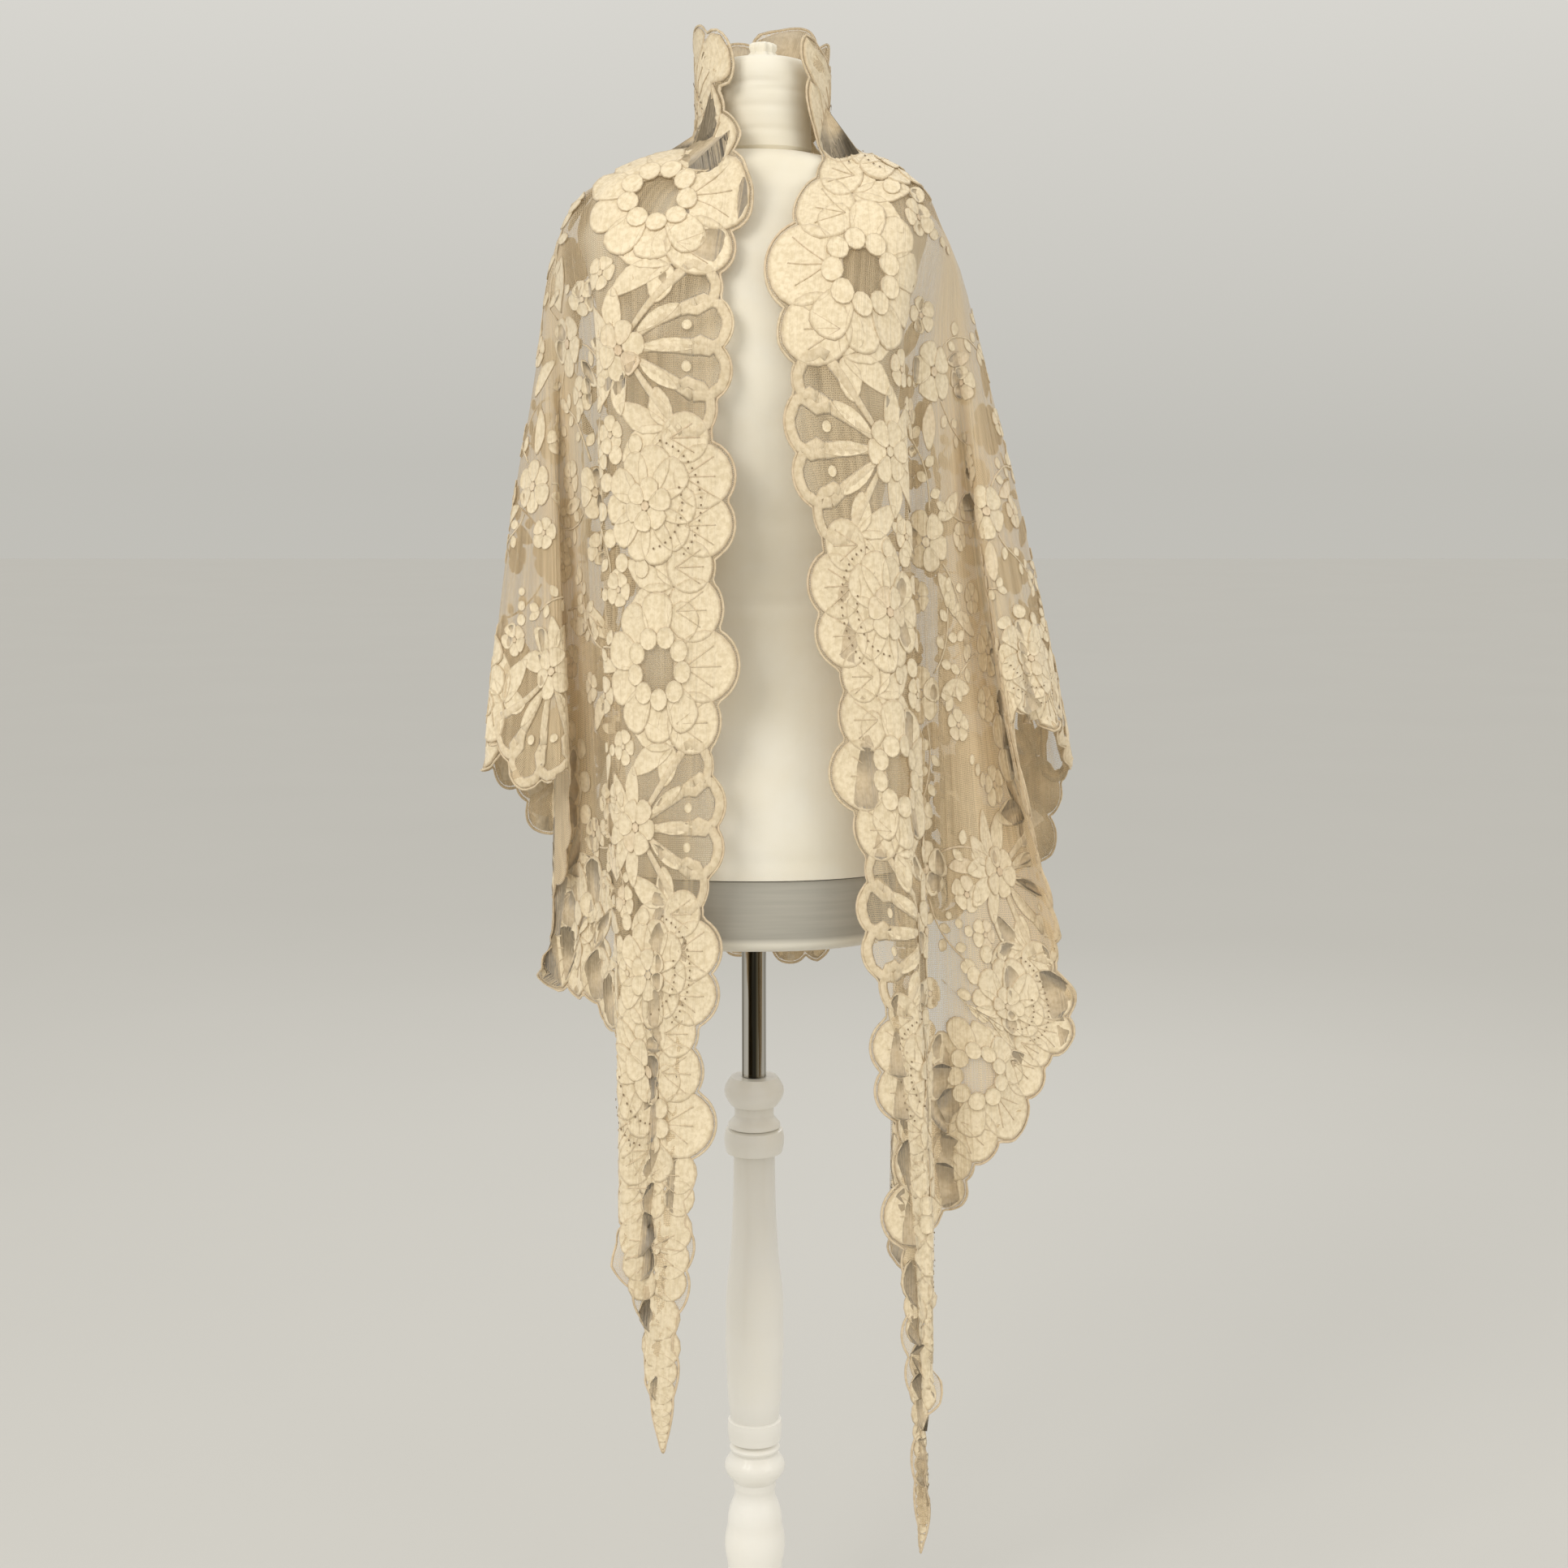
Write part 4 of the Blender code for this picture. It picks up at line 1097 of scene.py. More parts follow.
def draw_between(drawing, carry, chance):
    """Leaves and a small blossom that fill the corners between the parts of the border."""
    for along in (0.000, 0.136, 0.270):
        foot = np.array([along, 0.052])
        for angle, length in ((0.42, 0.058), (-0.42, 0.058), (1.25, 0.036), (-1.25, 0.036)):
            shape = leaf_outline(foot, angle, length, 0.023, 0.06 * math.copysign(1, angle))
            drawing.blade(carry(shape), chance.uniform(0.5, 1.0), 0.0001, fold=0.5)
        draw_blossom(drawing, foot + (0, 0.064), 0.016, 5, chance.uniform(0, 6), chance, 0.0004, carry)
        for step in range(3):
            spot = foot + (0.003 * (step - 1), 0.084 + 0.0125 * step)
            drawing.blade(carry(disc_outline(spot, 0.0056 - 0.0008 * step, 10)), chance.uniform(0.7, 1.0))


# ---------------------------------------------------------------- materials


def give(socket, value):
    """The value put into the socket, by a link where it comes from another node."""
    if isinstance(value, bpy.types.NodeSocket):
        socket.id_data.links.new(value, socket)
    else:
        socket.default_value = value


def node_adder(tree):
    """A short way to add a node to the tree: its inputs in order or by name, and its properties."""

    def add(kind, *inputs, out=0, **settings):
        node = tree.nodes.new("ShaderNode" + kind)
        for key, value in settings.items():
            if key in node.inputs:
                give(node.inputs[key], value)
            else:
                setattr(node, key, value)
        for socket, value in zip(node.inputs, inputs):
            give(socket, value)
        return node.outputs[out]

    return add


def new_material(name):
    """A material, a way to add nodes to it, and a way to fill its shader's inputs."""
    material = bpy.data.materials.new(name)
    material.use_nodes = True
    shader = material.node_tree.nodes["Principled BSDF"]

    def finish(inputs):
        for key, value in inputs.items():
            give(shader.inputs[key], value)
        return material

    return node_adder(material.node_tree), finish


def ramp(add, share, *stops):
    """The colour at a share of the way along the given (place, colour) stops."""
    colour = add("ValToRGB", share)
    elements = colour.node.color_ramp.elements
    while len(elements) < len(stops):
        elements.new(0.5)
    for element, (place, tint) in zip(elements, stops):
        element.position = place
        element.color = (*tint, 1.0)
    return colour


def mixed(add, share, one, other, blend="MIX"):
    """A share of the way from one colour to the other."""
    return add("Mix", data_type="RGBA", blend_type=blend, Factor=share, A=one, B=other, out="Result")


def stretched(add, place, scale):
    """The places scaled along each axis."""
    return add("Mapping", place, Scale=scale)


def noise(add, place, scale, detail, **more):
    """Soft noise at the places, from nought to one."""
    return add("TexNoise", Vector=place, Scale=scale, Detail=detail, **more)


def bumped(add, height, strength, distance, **under):
    """The surface's normals tilted by a height."""
    return add("Bump", Strength=strength, Distance=distance, Height=height, **under)


def tinted(colour, red, green, blue):
    """The colour with its channels scaled, none above one."""
    return tuple(min(1.0, channel * part) for channel, part in zip(colour, (red, green, blue)))


def hang_streaks(add, rate, stretch):
    """Soft streaks that run down the hang of the cloth, as a height from nought to one."""
    across = add("Attribute", attribute_name="across", out="Fac")
    down = add("Attribute", attribute_name="down", out="Fac")
    wide = add("Math", across, rate, operation="MULTIPLY")
    long = add("Math", down, stretch, operation="MULTIPLY")
    place = add("CombineXYZ", wide, long)
    return noise(add, place, 1.0, 4.0, noise_dimensions="2D", Roughness=0.6)


def motif_material(cream, tan):
    """Satin-stitched cream thread with a darker outline cord; eyelets are coloured dark as painted shade in
    place of their openings, and a weak glow is painted light passing through the threads.
    """
    add, finish = new_material("Embroidered lace")
    rim = add("Attribute", attribute_name="rim", out="Fac")
    tone = add("Attribute", attribute_name="tone", out="Fac")
    place = add("TexCoord", out="Object")
    part = add("Math", noise(add, place, 9.0, 3.0), 1.2, -0.6, operation="MULTIPLY_ADD")
    depth = add("Math", tone, part, operation="ADD")
    pink = tinted(cream, 0.94, 0.86, 0.84)
    shades = ramp(add, depth, (0.0, pink), (0.45, cream), (1.0, tinted(cream, 1.06, 1.06, 1.06)))
    edge = add("Math", rim, 0.62, operation="MULTIPLY")
    outlined = mixed(add, edge, shades, (*tan, 1.0))
    # Painted shade: discs with tone below nought (the eyelets) are coloured dark brown in place of their
    # openings.
    eyelet_shade = add("Math", tone, -0.5, operation="LESS_THAN")
    punched = mixed(add, eyelet_shade, outlined, (*tinted(tan, 0.45, 0.40, 0.35), 1.0))
    mottle = ramp(add, noise(add, place, 230.0, 3.0), (0.36, (0.80, 0.77, 0.70)), (0.60, (1.0, 1.0, 1.0)))
    crease = bumped(add, hang_streaks(add, 9.0, 5.0), 0.60, 0.005)
    return finish(
        {
            "Base Color": mixed(add, 0.8, punched, mottle, "MULTIPLY"),
            "Normal": bumped(add, noise(add, place, 900.0, 2.0), 0.35, 0.0004, Normal=crease),
            "Roughness": 0.72,
            # Painted light: a weak cream glow stands in for light passing through the threads.
            "Emission Color": (*tinted(cream, 1.0, 0.90, 0.76), 1.0),
            "Emission Strength": 0.09,
            "Sheen Weight": 0.25,
            "Sheen Roughness": 0.5,
            "Specular IOR Level": 0.3,
        }
    )


# How much denser the net looks in the tight folds, by share of the way round from front to front.
DOUBLED = tuple(
    (middle + way * off, (more, more, more))
    for middle in (0.19, 0.81)
    for way, off, more in ((-1, 0.07, 0.0), (-1, 0.03, 0.45), (1, 0.03, 0.45), (1, 0.07, 0.0))
)


def net_material(thread, cover):
    """Fine tan net: threads round small cells, with the rest clear; the thread is darkened along the crease
    streaks as painted shade, and a weak glow is painted light through it.
    """
    add, finish = new_material("Fine tulle net")
    laid = add("UVMap", uv_map="cut")
    cells = add(
        "TexVoronoi",
        feature="DISTANCE_TO_EDGE",
        voronoi_dimensions="2D",
        Vector=laid,
        Scale=560.0,
        Randomness=0.35,
        out="Distance",
    )
    strand = add("MapRange", cells, 0.10, 0.32, 0.36, -0.16)
    streak = hang_streaks(add, 10.0, 4.0)
    denser = add("MapRange", streak, 0.30, 0.70, cover - 0.12, cover + 0.14)
    across = add("Attribute", attribute_name="across", out="Fac")
    share = add("Math", across, 2.0 * len(LEFT_FOLDS), operation="DIVIDE")
    more = add("Math", ramp(add, share, *DOUBLED), denser, operation="ADD")
    patch = noise(add, laid, 5.0, 4.0)
    # Painted shade: the thread colour drops to 0.8 in the low parts of the crease streaks that also bump the
    # surface.
    shades = ramp(add, streak, (0.32, tinted(thread, 0.80, 0.80, 0.80)), (0.66, thread))
    return finish(
        {
            "Alpha": add("Math", strand, more, operation="ADD", use_clamp=True),
            "Base Color": mixed(add, patch, shades, (*tinted(thread, 1.0, 0.90, 0.82), 1.0)),
            "Normal": bumped(add, streak, 0.6, 0.005),
            "Roughness": 0.8,
            # Painted light: a weak tan glow stands in for light passing through the net.
            "Emission Color": (*tinted(thread, 1.0, 0.90, 0.70), 1.0),
            "Emission Strength": 0.12,
            "Sheen Weight": 0.2,
            "Specular IOR Level": 0.25,
        }
    )


def jersey_material(colour):
    """Fine-ribbed cotton jersey, slightly uneven in colour."""
    add, finish = new_material("White cotton jersey")
    place = add("TexCoord", out="Object")
    patch = noise(add, place, 7.0, 5.0, Roughness=0.6)
    rib = add("TexWave", Vector=place, Scale=420.0, Distortion=1.5, Detail=2.0, out="Fac")
    both = add("Math", rib, noise(add, place, 1300.0, 2.0), operation="ADD")
    return finish(
        {
            "Base Color": ramp(add, patch, (0.30, tinted(colour, 0.95, 0.92, 0.85)), (0.62, colour)),
            "Normal": bumped(add, both, 0.25, 0.0004),
            "Roughness": 0.85,
            "Sheen Weight": 0.3,
            "Specular IOR Level": 0.25,
        }
    )


def satin_material(colour):
    """Greyish satin with a soft shine and faint streaks; its grey is partly painted shade of its recess
    under the form, and a painted highlight brightens it where it rolls under.
    """
    add, finish = new_material("Grey white satin")
    place = add("TexCoord", out="Object")
    streak = noise(add, stretched(add, place, (2.0, 2.0, 60.0)), 4.0, 5.0)
    shades = ramp(add, streak, (0.3, tinted(colour, 0.86, 0.86, 0.86)), (0.7, colour))
    # Painted highlight: the colour is lightened 1.7 times near the bottom, where the band rolls under.
    height = add("SeparateXYZ", place, out="Z")
    low = add("MapRange", height, FORM_BOTTOM + 1.5 * BAND_ROLL, FORM_BOTTOM + 0.9 * BAND_ROLL)
    return finish(
        {
            "Base Color": mixed(add, low, shades, (*tinted(colour, 1.7, 1.7, 1.7), 1.0)),
            "Normal": bumped(add, streak, 0.12, 0.0005),
            "Roughness": add("MapRange", streak, 0.0, 1.0, 0.32, 0.50),
            "Sheen Weight": 0.4,
        }
    )


def paint_material(colour):
    """White brushed gloss paint on turned wood, with painted shade darkening its grooves."""
    add, finish = new_material("White painted wood")
    place = add("TexCoord", out="Object")
    streak = noise(add, stretched(add, place, (6.0, 6.0, 120.0)), 3.0, 4.0)
    patch = noise(add, place, 14.0, 5.0)
    # Painted shade: the colour darkens to 0.8 where the surface is hollow, in the grooves of the turning.
    hollow = add("NewGeometry", out="Pointiness")
    groove_shade = ramp(add, hollow, (0.44, tinted(colour, 0.80, 0.80, 0.80)), (0.52, colour))
    return finish(
        {
            "Base Color": mixed(add, patch, groove_shade, (*tinted(colour, 0.97, 0.94, 0.86), 1.0)),
            "Normal": bumped(add, streak, 0.10, 0.0006),
            "Roughness": add("MapRange", patch, 0.0, 1.0, 0.24, 0.42),
            "Coat Weight": 0.3,
        }
    )


def chrome_material():
    """Polished chrome with the faintest smears, and painted reflections of a room as dark and bright bands
    down its colour.
    """
    add, finish = new_material("Polished chrome")
    place = add("TexCoord", out="Object")
    # Painted reflection: dark and bright bands along the pole in its base colour stand in for the room
    # reflected in it.
    painted_reflection = noise(add, stretched(add, place, (150.0, 150.0, 1.2)), 1.0, 1.0)
    dark, mid, bright = (0.03, 0.027, 0.02), (0.14, 0.12, 0.08), (0.60, 0.58, 0.54)
    return finish(
        {
            "Base Color": ramp(add, painted_reflection, (0.44, dark), (0.54, mid), (0.66, bright)),
            "Roughness": add("MapRange", noise(add, place, 30.0, 4.0), 0.0, 1.0, 0.06, 0.20),
            "Metallic": 1.0,
        }
    )


def floor_material(colour):
    """A pale, matt, nearly even floor."""
    add, finish = new_material("Pale studio floor")
    patch = noise(add, add("TexCoord", out="Object"), 1.2, 4.0)
    dim = tinted(colour, 0.985, 0.985, 0.985)
    return finish({"Base Color": ramp(add, patch, (0.3, dim), (0.7, colour)), "Roughness": 0.9})


# ---------------------------------------------------------------- settings


def length_setting(name, about, value):
    """A setting in metres."""
    return FloatProperty(name=name, description=about, default=value, unit="LENGTH")


def colour_setting(name, about, value):
    """A setting that is a colour."""
    return FloatVectorProperty(name=name, description=about, default=value, subtype="COLOR")


def strength_setting(name, about, value):
    """A setting that is the strength of a light."""
    return FloatProperty(name=name, description=about, default=value)


class ShawlSettings(bpy.types.PropertyGroup):
    """Sizes and colours of the shawl."""

    clearance: length_setting("Clearance", "How far the net lies off the form", 0.004)
    flute: length_setting("Flutes", "How deep the soft flutes are at the hem", 0.013)
    edge_cord: length_setting("Edge cord", "Width of the cord along the scallops", 0.0026)
    spray_pitch: length_setting("Spray pitch", "Distance between sprays of the field", 0.150)
    seed: IntProperty(name="Seed", description="Which chance variation of the motifs", default=11)
    net_cover: FloatProperty(
        name="Net cover", description="How much of the net is thread", default=0.20, subtype="FACTOR"
    )
    cream: colour_setting("Cream", "Colour of the embroidery", (0.78, 0.67, 0.48))
    tan: colour_setting("Tan", "Colour of the outline cord", (0.46, 0.35, 0.22))
    thread: colour_setting("Net thread", "Colour of the net", (0.66, 0.55, 0.37))


class FormSettings(bpy.types.PropertyGroup):
    """Sizes and colours of the dress form."""

    sides: IntProperty(name="Sides", description="Points round each ring of the form", default=112)
    ring_step: length_setting("Ring step", "Height between the form's rings", 0.0055)
    jersey: colour_setting("Jersey", "Colour of the cover", (0.86, 0.82, 0.71))
    # The band's grey is partly the satin's own colour and partly painted shade of its recess under the form.
    satin: colour_setting("Satin", "Colour of the band", (0.46, 0.44, 0.38))


class StandSettings(bpy.types.PropertyGroup):
    """Sizes and colours of the stand."""

    pole_radius: length_setting("Pole radius", "Radius of the chrome pole", 0.0125)
    paint: colour_setting("Paint", "Colour of the painted wood", (0.90, 0.89, 0.86))


class StageSettings(bpy.types.PropertyGroup):
    """The studio round the object."""

    floor: colour_setting("Floor", "Colour of the floor", (0.545, 0.538, 0.512))
    key_power: strength_setting("Key light", "Power of the key light in watts", 52.0)
    fill_power: strength_setting("Fill light", "Power of the fill light in watts", 16.0)
    room: strength_setting("Room light", "Strength of the light all round", 0.95)


# ---------------------------------------------------------------- operators


class LACE_OT_shawl(bpy.types.Operator):
    """Builds the net sheet, its scalloped edge cord and all the embroidered motifs."""

    bl_idname = "lace.shawl"
    bl_label = "Lace shawl"

    def execute(self, context):
        settings = context.scene.lace_shawl
        chance = np.random.default_rng(settings.seed)
        cloth = Cloth(settings.clearance, settings.flute)
        embroidery = motif_material(tuple(settings.cream), tuple(settings.tan))
        outline = scalloped_outline(cloth)
        net = build_net(cloth, outline)
        settle(net, net_material(tuple(settings.thread), settings.net_cover), SHAWL_NODES)
        border = Drawing()
        draw_border(border, cloth, chance)
        edge = Drawing()
        edge.cord(outline, settings.edge_cord, 0.35, 1.0, 0.0014, 0.0, closed=True)
        field = (Drawing(), Drawing())
        draw_field(field, cloth, settings.spray_pitch, chance)
        names = ("lace_border", "lace_edge_cord", "lace_sprays_left", "lace_sprays_right")
        drawings = (border, edge, *field)
        pieces = [carry_over(name, drawing, cloth, embroidery) for name, drawing in zip(names, drawings)]
        size = np.ptp(cloth.edge, axis=0)
        return {"FINISHED"}


def edge_repeats(cloth):
    """Each repeat of the border: its start on the edge, direction, scale, room left and parts.

    The border is mirrored about a rose at the middle of the long edge and at the third corner, and
    runs off at both tips.
    """
    middle, tip, corner = cloth.corners
    whole = ("fan", "rose", "peony")
    repeats = []
    left_half = (middle - MIDDLE_LEFT, -1, middle - MIDDLE_LEFT)
    right_half = (middle + MIDDLE_RIGHT, 1, tip - middle - MIDDLE_RIGHT)
    for start, way, room in (left_half, right_half):
        for index in range(math.ceil(room / LONG_REPEAT)):
            far = start + way * (index + 1) * LONG_REPEAT
            repeats.append((far, -way, LONG_REPEAT / REPEAT, room - index * LONG_REPEAT, whole))
    rose = middle + (MIDDLE_RIGHT - MIDDLE_LEFT) / 2 - ROSE_PLACE
    repeats.append((rose, 1, 1.0, 1.0, ("rose",)))
    for way, room in ((-1, corner - tip), (1, cloth.edge_length - corner)):
        count = max(1, round(room / LONG_REPEAT))
        length = room / count
        for index in range(count):
            far = corner + way * (index + 1) * length
            repeats.append((far, -way, length / REPEAT, room - index * length, whole))
    return repeats


def scalloped_outline(cloth):
    """The outline of the cut: the outer arcs of the lobes, repeat after repeat, in the flat."""
    along = np.arange(len(cloth.edge)) / len(cloth.edge) * cloth.edge_length
    inward = np.full(len(along), VALLEY)
    for start, way, scale, room, parts in edge_repeats(cloth):
        for part, place, depth, radius in LOBES:
            if part not in parts or (REPEAT - place) * scale > room - TIP_ROOM:
                continue
            middle = start + way * place * scale
            away = (along - middle + cloth.edge_length / 2) % cloth.edge_length - cloth.edge_length / 2
            reach = np.sqrt(np.clip((radius * scale) ** 2 - away**2, 0, None))
            here = np.where(np.abs(away) < radius * scale, (depth * scale - reach), VALLEY)
            inward = np.minimum(inward, here)
    inward = inward * tip_fade(along, (0.0, cloth.corners[1], cloth.edge_length))
    return cloth.along_edge(along, inward)


def build_net(cloth, outline):
    """The net sheet: the surface's own points and the outline, joined in the flat and worn."""
    inner = cloth.inside[::2, ::2].reshape(-1, 2)
    line = cloth.edge
    gap = np.min(np.linalg.norm(inner[:, None] - line[None, ::3], axis=2), axis=1)
    inner = inner[gap > OUTLINE_STEP]
    count = len(outline)
    points = [Vector(place) for place in np.vstack([outline, inner]).tolist()]
    edges = [(place, (place + 1) % count) for place in range(count)]
    flat, _, faces, _, _, _ = delaunay_2d_cdt(points, edges, [], 1, 1e-6)
    flat = np.array([tuple(place) for place in flat])
    used = np.unique([corner for face in faces for corner in face])
    number = {old: new for new, old in enumerate(used.tolist())}
    faces = [tuple(number[corner] for corner in face) for face in faces]
    flat = flat[used]
    points, across, down = cloth.worn(flat, np.zeros(len(flat)))
    net = add_object("lace_net", points, faces)
    store(net, "across", across)
    store(net, "down", down)
    laid = net.data.uv_layers.new(name="cut")
    corners = np.empty(len(net.data.loops), int)
    net.data.loops.foreach_get("vertex_index", corners)
    laid.data.foreach_set("uv", flat[corners].ravel())
    return net


def draw_border(drawing, cloth, chance):
    """The fan, rose and peony of every repeat round the shawl."""
    line = cloth.edge[::3]
    for start, way, scale, room, parts in edge_repeats(cloth):

        def carry(shape, start=start, way=way, scale=scale, room=room):
            middle = shape.mean(axis=0)
            if scale * (REPEAT - middle[0]) > room - TIP_ROOM:
                return None
            inward = shape[:, 1] * scale
            spots = cloth.along_edge(start + way * shape[:, 0] * scale, inward)
            gaps = np.min(np.linalg.norm(spots[:, None] - line, axis=2), axis=1)
            if np.any(gaps < LEAST_GAP_SHARE * inward - LEAST_GAP):
                return None
            if inward.mean() > VALLEY and not point_in(line, spots.mean(axis=0)):
                return None
            return spots

        narrow = room < NARROW * scale * REPEAT
        if "fan" in parts:
            if narrow:
                draw_lobes(drawing, carry, chance, "fan")
            draw_fan(drawing, carry, chance, narrow)
            draw_peony(drawing, carry, chance)
            draw_between(drawing, carry, chance)
        draw_rose(drawing, carry, chance)
    for tip in (0.0, cloth.corners[1]):
        reach = TIP_STEP
        while reach < TIP_REACH:
            both = np.array([tip + reach, tip - reach]) % cloth.edge_length
            one, other = cloth.along_edge(both, [0.0, 0.0])
            gap = np.linalg.norm(one - other)
            number = max(1, round(gap / TIP_WIDTH)) if reach < TIP_FULL else 1
            size = min(TIP_PETAL, TIP_FILL * gap / number)
            for place in range(number):
                spot = one + (other - one) * (place + 0.5) / number
                lift = 0.0001 + 0.0002 * (place % 2)
                drawing.blade(disc_outline(spot, size, 16), chance.uniform(0.6, 1.0), lift)
            reach += max(TIP_SPACING * size, TIP_STEP)


def draw_field(drawings, cloth, pitch, chance):
    """Sprays all over the middle of the cut, on a staggered grid."""
    line = cloth.edge[::4]
    low = cloth.edge.min(axis=0)
    high = cloth.edge.max(axis=0)
    middle = cloth.along_edge([cloth.corners[0]], [0.0])[0]

    def free(place, room=SPRIG_ROOM):
        inside = point_in(line, place)
        return inside and np.min(np.linalg.norm(line - place, axis=1)) > room

    for row, depth in enumerate(np.arange(low[1] + FIELD_START, high[1], pitch * FIELD_ROW)):
        for along in np.arange(low[0] + pitch * (row % 2) / 2, high[0], pitch):
            place = np.array([along, depth]) + chance.uniform(-FIELD_STRAY, FIELD_STRAY, 2)
            turn = chance.uniform(0, 2 * math.pi)
            bare = np.hypot(place[0] - middle[0], place[1]) < BARE_SHOULDER
            if free(place, SPRAY_ROOM) and not bare:
                draw_spray(drawings[int(place[0] > 0)], place, turn, chance, free)


def point_in(line, place):
    """Whether the place is inside the closed line."""
    a = line
    b = np.roll(line, -1, axis=0)
    crosses = (a[:, 1] > place[1]) != (b[:, 1] > place[1])
    at = (b[:, 0] - a[:, 0]) * (place[1] - a[:, 1]) / (b[:, 1] - a[:, 1] + 1e-12) + a[:, 0]
    return bool(np.sum(crosses & (place[0] < at)) % 2)


def carry_over(name, drawing, cloth, material):
    """The drawing as one mesh on the worn cloth."""
    flat = np.vstack(drawing.places)
    heights = np.concatenate(drawing.heights)
    points, across, down = cloth.worn(flat, heights + 0.0002)
    piece = add_object(name, points, drawing.faces)
    store(piece, "across", across)
    store(piece, "down", down)
    store(piece, "rim", np.concatenate(drawing.rims))
    store(piece, "tone", np.concatenate(drawing.tones))
    settle(piece, material)
    return piece


class LACE_OT_form(bpy.types.Operator):
    """Builds the jersey cover of the torso and neck, its gathered tuft and the satin band."""

    bl_idname = "lace.form"
    bl_label = "Dress form"

    def execute(self, context):
        settings = context.scene.lace_form
        jersey = jersey_material(tuple(settings.jersey))
        satin = satin_material(tuple(settings.satin))
        rings = [form_ring(COVER_HEM - 0.0006, settings.sides, COVER_THICKNESS + SEAM)]
        heights = np.arange(COVER_HEM, FORM[-1][0], settings.ring_step)
        rings += [form_ring(height, settings.sides) for height in (*heights, FORM[-1][0])]
        cover = loft("form_cover", rings)
        crease(cover, COVER_CREASES, (0.0, 0.0))
        settle(cover, jersey, ("form_torso",))
        lower = [form_ring(FORM_BOTTOM, settings.sides, COVER_THICKNESS + 2 * BAND_ROLL)]
        for turn in np.linspace(0, math.pi / 2, 8):
            ring = form_ring(FORM_BOTTOM, settings.sides, COVER_THICKNESS + BAND_ROLL * (1 - math.sin(turn)))
            lower.append(ring + (0, 0, BAND_ROLL * (1 - math.cos(turn))))
        for height in np.linspace(FORM_BOTTOM + 1.4 * BAND_ROLL, COVER_HEM - 0.0014, 9):
            lower.append(form_ring(height, settings.sides, COVER_THICKNESS))
        band = loft("form_satin_band", lower)
        settle(band, satin, ("form_band",))
        neck = turn_profile("form_neck_cover", neck_profile(), NECK_CENTRE)
        crease(neck, NECK_CREASES, NECK_CENTRE)
        settle(neck, jersey, ("form_neck",))
        settle(build_tuft(), jersey, ("form_tuft",))
        return {"FINISHED"}


def form_ring(height, sides, shrink=0.0):
    """The places round the form at one height."""
    rings = table(FORM, FORM_COLUMNS)
    sizes = np.stack([rings[name] for name in FORM_COLUMNS[1:]], axis=1)
    read = curve_through(rings["height"], sizes, np.array([np.clip(height, FORM[0][0], FORM[-1][0])]))[0]
    half_width, front, back, squareness = read
    turn = once_round(sides)
    power = 2 / squareness
    across = (half_width - shrink) * np.sign(np.sin(turn)) * np.abs(np.sin(turn)) ** power
    depth = np.where(np.cos(turn) > 0, front, back) - shrink
    along = -depth * np.sign(np.cos(turn)) * np.abs(np.cos(turn)) ** power
    return np.stack([across, along, np.full(sides, height)], axis=1)


def loft(name, rings):
    """A closed solid through rings that all have the same number of places."""
    sides = len(rings[0])
    faces = [tuple(range(sides)), *band_faces(len(rings), sides)]
    top = (len(rings) - 1) * sides
    faces.append(tuple(reversed(range(top, top + sides))))
    piece = add_object(name, np.vstack(rings), faces)
    piece.data.set_sharp_from_angle(angle=math.radians(50))
    return piece


def crease(piece, creases, centre):
    """Soft creases pressed into a piece round its own axis."""
    count = len(piece.data.vertices)
    places = np.empty(count * 3)
    piece.data.vertices.foreach_get("co", places)
    places = places.reshape(-1, 3)
    away = places[:, :2] - np.array(centre)
    bearing = np.degrees(np.arctan2(away[:, 0], -away[:, 1]))
    push = np.zeros(count)
    for height, around, half_round, half_height, depth in creases:
        off = (bearing - around + 180) % 360 - 180
        sag = 0.25 * half_height * (off / half_round) ** 2
        push += (
            depth
            * np.exp(-((off / half_round) ** 4))
            * np.exp(-(((places[:, 2] - height + sag) / half_height) ** 2))
        )
    places[:, :2] += unit(away) * push[:, None]
    piece.data.vertices.foreach_set("co", places.ravel())
    piece.data.update()


def neck_profile():
    """The neck block's outline with close rows on its side, so that creases show."""
    outline = [NECK[0], (1.6795, 0.0395), NECK[1], (1.6715, 0.0455), NECK[2]]
    for share in np.linspace(0, 1, 34)[1:]:
        top, bottom = NECK[2], NECK[3]
        outline.append(tuple(np.array(top) + (np.array(bottom) - np.array(top)) * share))
    outline.append(NECK[4])
    return outline


def turn_profile(name, profile, centre=(0.0, 0.0)):
    """A turned solid from (height, radius) from the top down, closed on the axis at both ends."""
    sides = TURNING_STEPS
    turn = once_round(sides)
    rings = []
    for height, radius in reversed(profile):
        across = centre[0] + radius * np.sin(turn)
        along = centre[1] - radius * np.cos(turn)
        rings.append(np.stack([across, along, np.full(sides, height)], axis=1))
    piece = loft(name, rings)
    piece.data.set_sharp_from_angle(angle=math.radians(35))
    return piece


def build_tuft():
    """The cover's gathered end: a low rosette of soft pleats."""
    sides = TURNING_STEPS
    turn = once_round(sides)
    rings = []
    for height, radius, ruffle in TUFT:
        pleat = 1 + ruffle * (np.sin(9 * turn) + 0.6 * np.sin(4 * turn + 1.1)) / 1.6
        across = TUFT_CENTRE[0] + radius * pleat * np.sin(turn)
        along = TUFT_CENTRE[1] - radius * pleat * np.cos(turn)
        rings.append(np.stack([across, along, np.full(sides, height)], axis=1))
    return loft("form_gathered_tuft", rings)


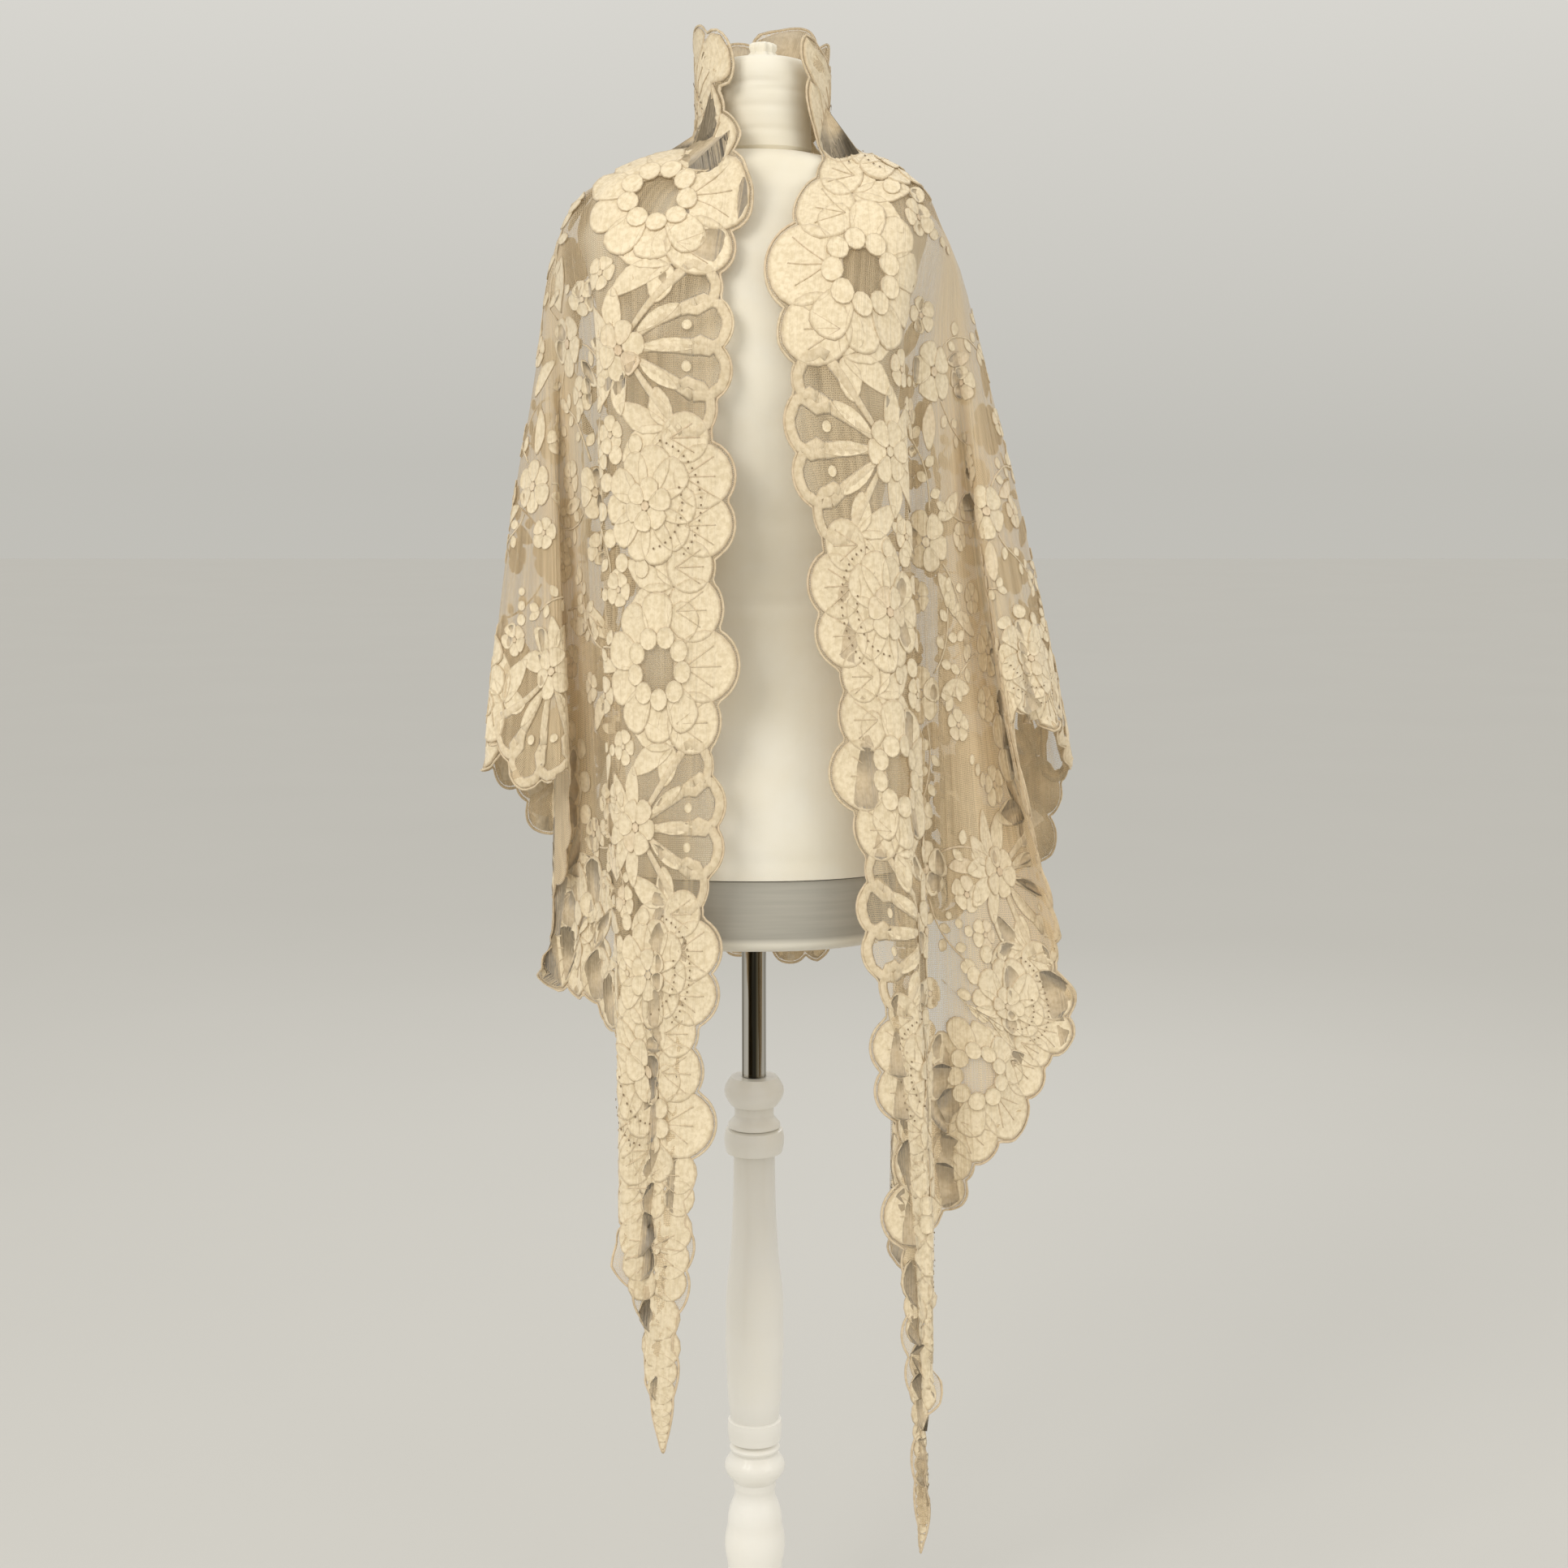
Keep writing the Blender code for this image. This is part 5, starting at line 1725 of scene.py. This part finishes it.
class LACE_OT_stand(bpy.types.Operator):
    """Builds the chrome pole, the turned column and the round base."""

    bl_idname = "lace.stand"
    bl_label = "Stand"

    def execute(self, context):
        settings = context.scene.lace_stand
        paint = paint_material(tuple(settings.paint))
        radius = settings.pole_radius
        bevel = 0.0006
        top = FORM_BOTTOM - SEAM
        foot = COLUMN_TOP + SEAM
        rod = [(top, radius - bevel), (top - bevel, radius), (foot + bevel, radius), (foot, radius - bevel)]
        settle(turn_profile("stand_pole", rod), chrome_material(), ("pole",))
        settle(turn_profile("stand_column", column_profile()), paint, ("column",))
        settle(turn_profile("stand_base", list(BASE)), paint, ("base",))
        return {"FINISHED"}


def column_profile():
    """The (height, radius) places of the turned column, with each swelling run as an arc."""
    profile = []
    for (height, radius, bulge), (next_height, next_radius, _) in zip(COLUMN, COLUMN[1:]):
        steps = RUN_STEPS if bulge else 1
        for step in range(steps):
            share = step / steps
            swell = bulge * math.sin(math.pi * share)
            profile.append(
                (height + (next_height - height) * share, radius + (next_radius - radius) * share + swell)
            )
    profile.append(COLUMN[-1][:2])
    return profile


class LACE_OT_stage(bpy.types.Operator):
    """Builds the plain pale floor, the soft lights and the camera."""

    bl_idname = "lace.stage"
    bl_label = "Studio"

    def execute(self, context):
        settings = context.scene.lace_stage
        far, low = FLOOR_REACH, FLOOR_LEVEL
        corners = [(-far, -far, low), (far, -far, low), (far, far, low), (-far, far, low)]
        floor = add_object("studio_floor", corners, [(0, 1, 2, 3)])
        floor.data.materials.append(floor_material(tuple(settings.floor)))
        floor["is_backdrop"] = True
        for name, place, target, size, strength, tint in LIGHTS:
            add_light(name, place, target, size, getattr(settings, strength), tint)
        world = bpy.data.worlds.new("Pale room")
        world.use_nodes = True
        add = node_adder(world.node_tree)
        rise = add("MapRange", add("SeparateXYZ", add("TexCoord", out="Generated"), out="Z"), 0.0, 0.5)
        background = world.node_tree.nodes["Background"]
        shade = mixed(add, rise, ROOM_LOW, ROOM_HIGH)
        give(background.inputs["Color"], shade)
        background.inputs["Strength"].default_value = settings.room
        context.scene.world = world
        camera = bpy.data.cameras.new("Camera")
        camera.sensor_width = SENSOR_WIDTH
        camera.lens = SENSOR_WIDTH * VIEW_DEPTH
        camera.clip_start = 0.05
        holder = bpy.data.objects.new("Camera", camera)
        holder.location = CAMERA_PLACE
        holder.rotation_euler = (math.radians(90 - CAMERA_DIP), 0.0, 0.0)
        context.scene.collection.objects.link(holder)
        context.scene.camera = holder
        context.scene.view_settings.view_transform = "Standard"
        return {"FINISHED"}


def add_light(name, place, target, size, power, colour):
    """A soft square light that looks at its target."""
    light = bpy.data.lights.new(name, "AREA")
    light.size = size
    light.energy = power
    light.color = colour
    holder = bpy.data.objects.new(name, light)
    holder.location = place
    holder.rotation_euler = (Vector(target) - Vector(place)).to_track_quat("-Z", "Y").to_euler()
    bpy.context.scene.collection.objects.link(holder)


class LACE_PT_panel(bpy.types.Panel):
    """Lists the pieces of the lace shawl."""

    bl_idname = "LACE_PT_panel"
    bl_label = "Lace shawl"
    bl_space_type = "VIEW_3D"
    bl_region_type = "UI"
    bl_category = "Lace shawl"

    def draw(self, context):
        for group, operator in (
            (context.scene.lace_form, "lace.form"),
            (context.scene.lace_stand, "lace.stand"),
            (context.scene.lace_shawl, "lace.shawl"),
            (context.scene.lace_stage, "lace.stage"),
        ):
            box = self.layout.box()
            for name in group.bl_rna.properties.keys():
                if name not in ("rna_type", "name"):
                    box.prop(group, name)
            box.operator(operator)


GROUPS = {
    "lace_shawl": ShawlSettings,
    "lace_form": FormSettings,
    "lace_stand": StandSettings,
    "lace_stage": StageSettings,
}
CLASSES = (*GROUPS.values(), LACE_OT_form, LACE_OT_stand, LACE_OT_shawl, LACE_OT_stage, LACE_PT_panel)


def register():
    for kind in CLASSES:
        bpy.utils.register_class(kind)
    for name, kind in GROUPS.items():
        setattr(bpy.types.Scene, name, PointerProperty(type=kind))


def unregister():
    for name in GROUPS:
        delattr(bpy.types.Scene, name)
    for kind in reversed(CLASSES):
        bpy.utils.unregister_class(kind)


def main():
    register()
    bpy.ops.lace.form()
    bpy.ops.lace.stand()
    bpy.ops.lace.shawl()
    bpy.ops.lace.stage()
    boxes = {"cad": CAD_BOX, "visual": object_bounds()}
    {name: [list(corner) for corner in box] for name, box in boxes.items()}


if __name__ == "__main__":
    main()
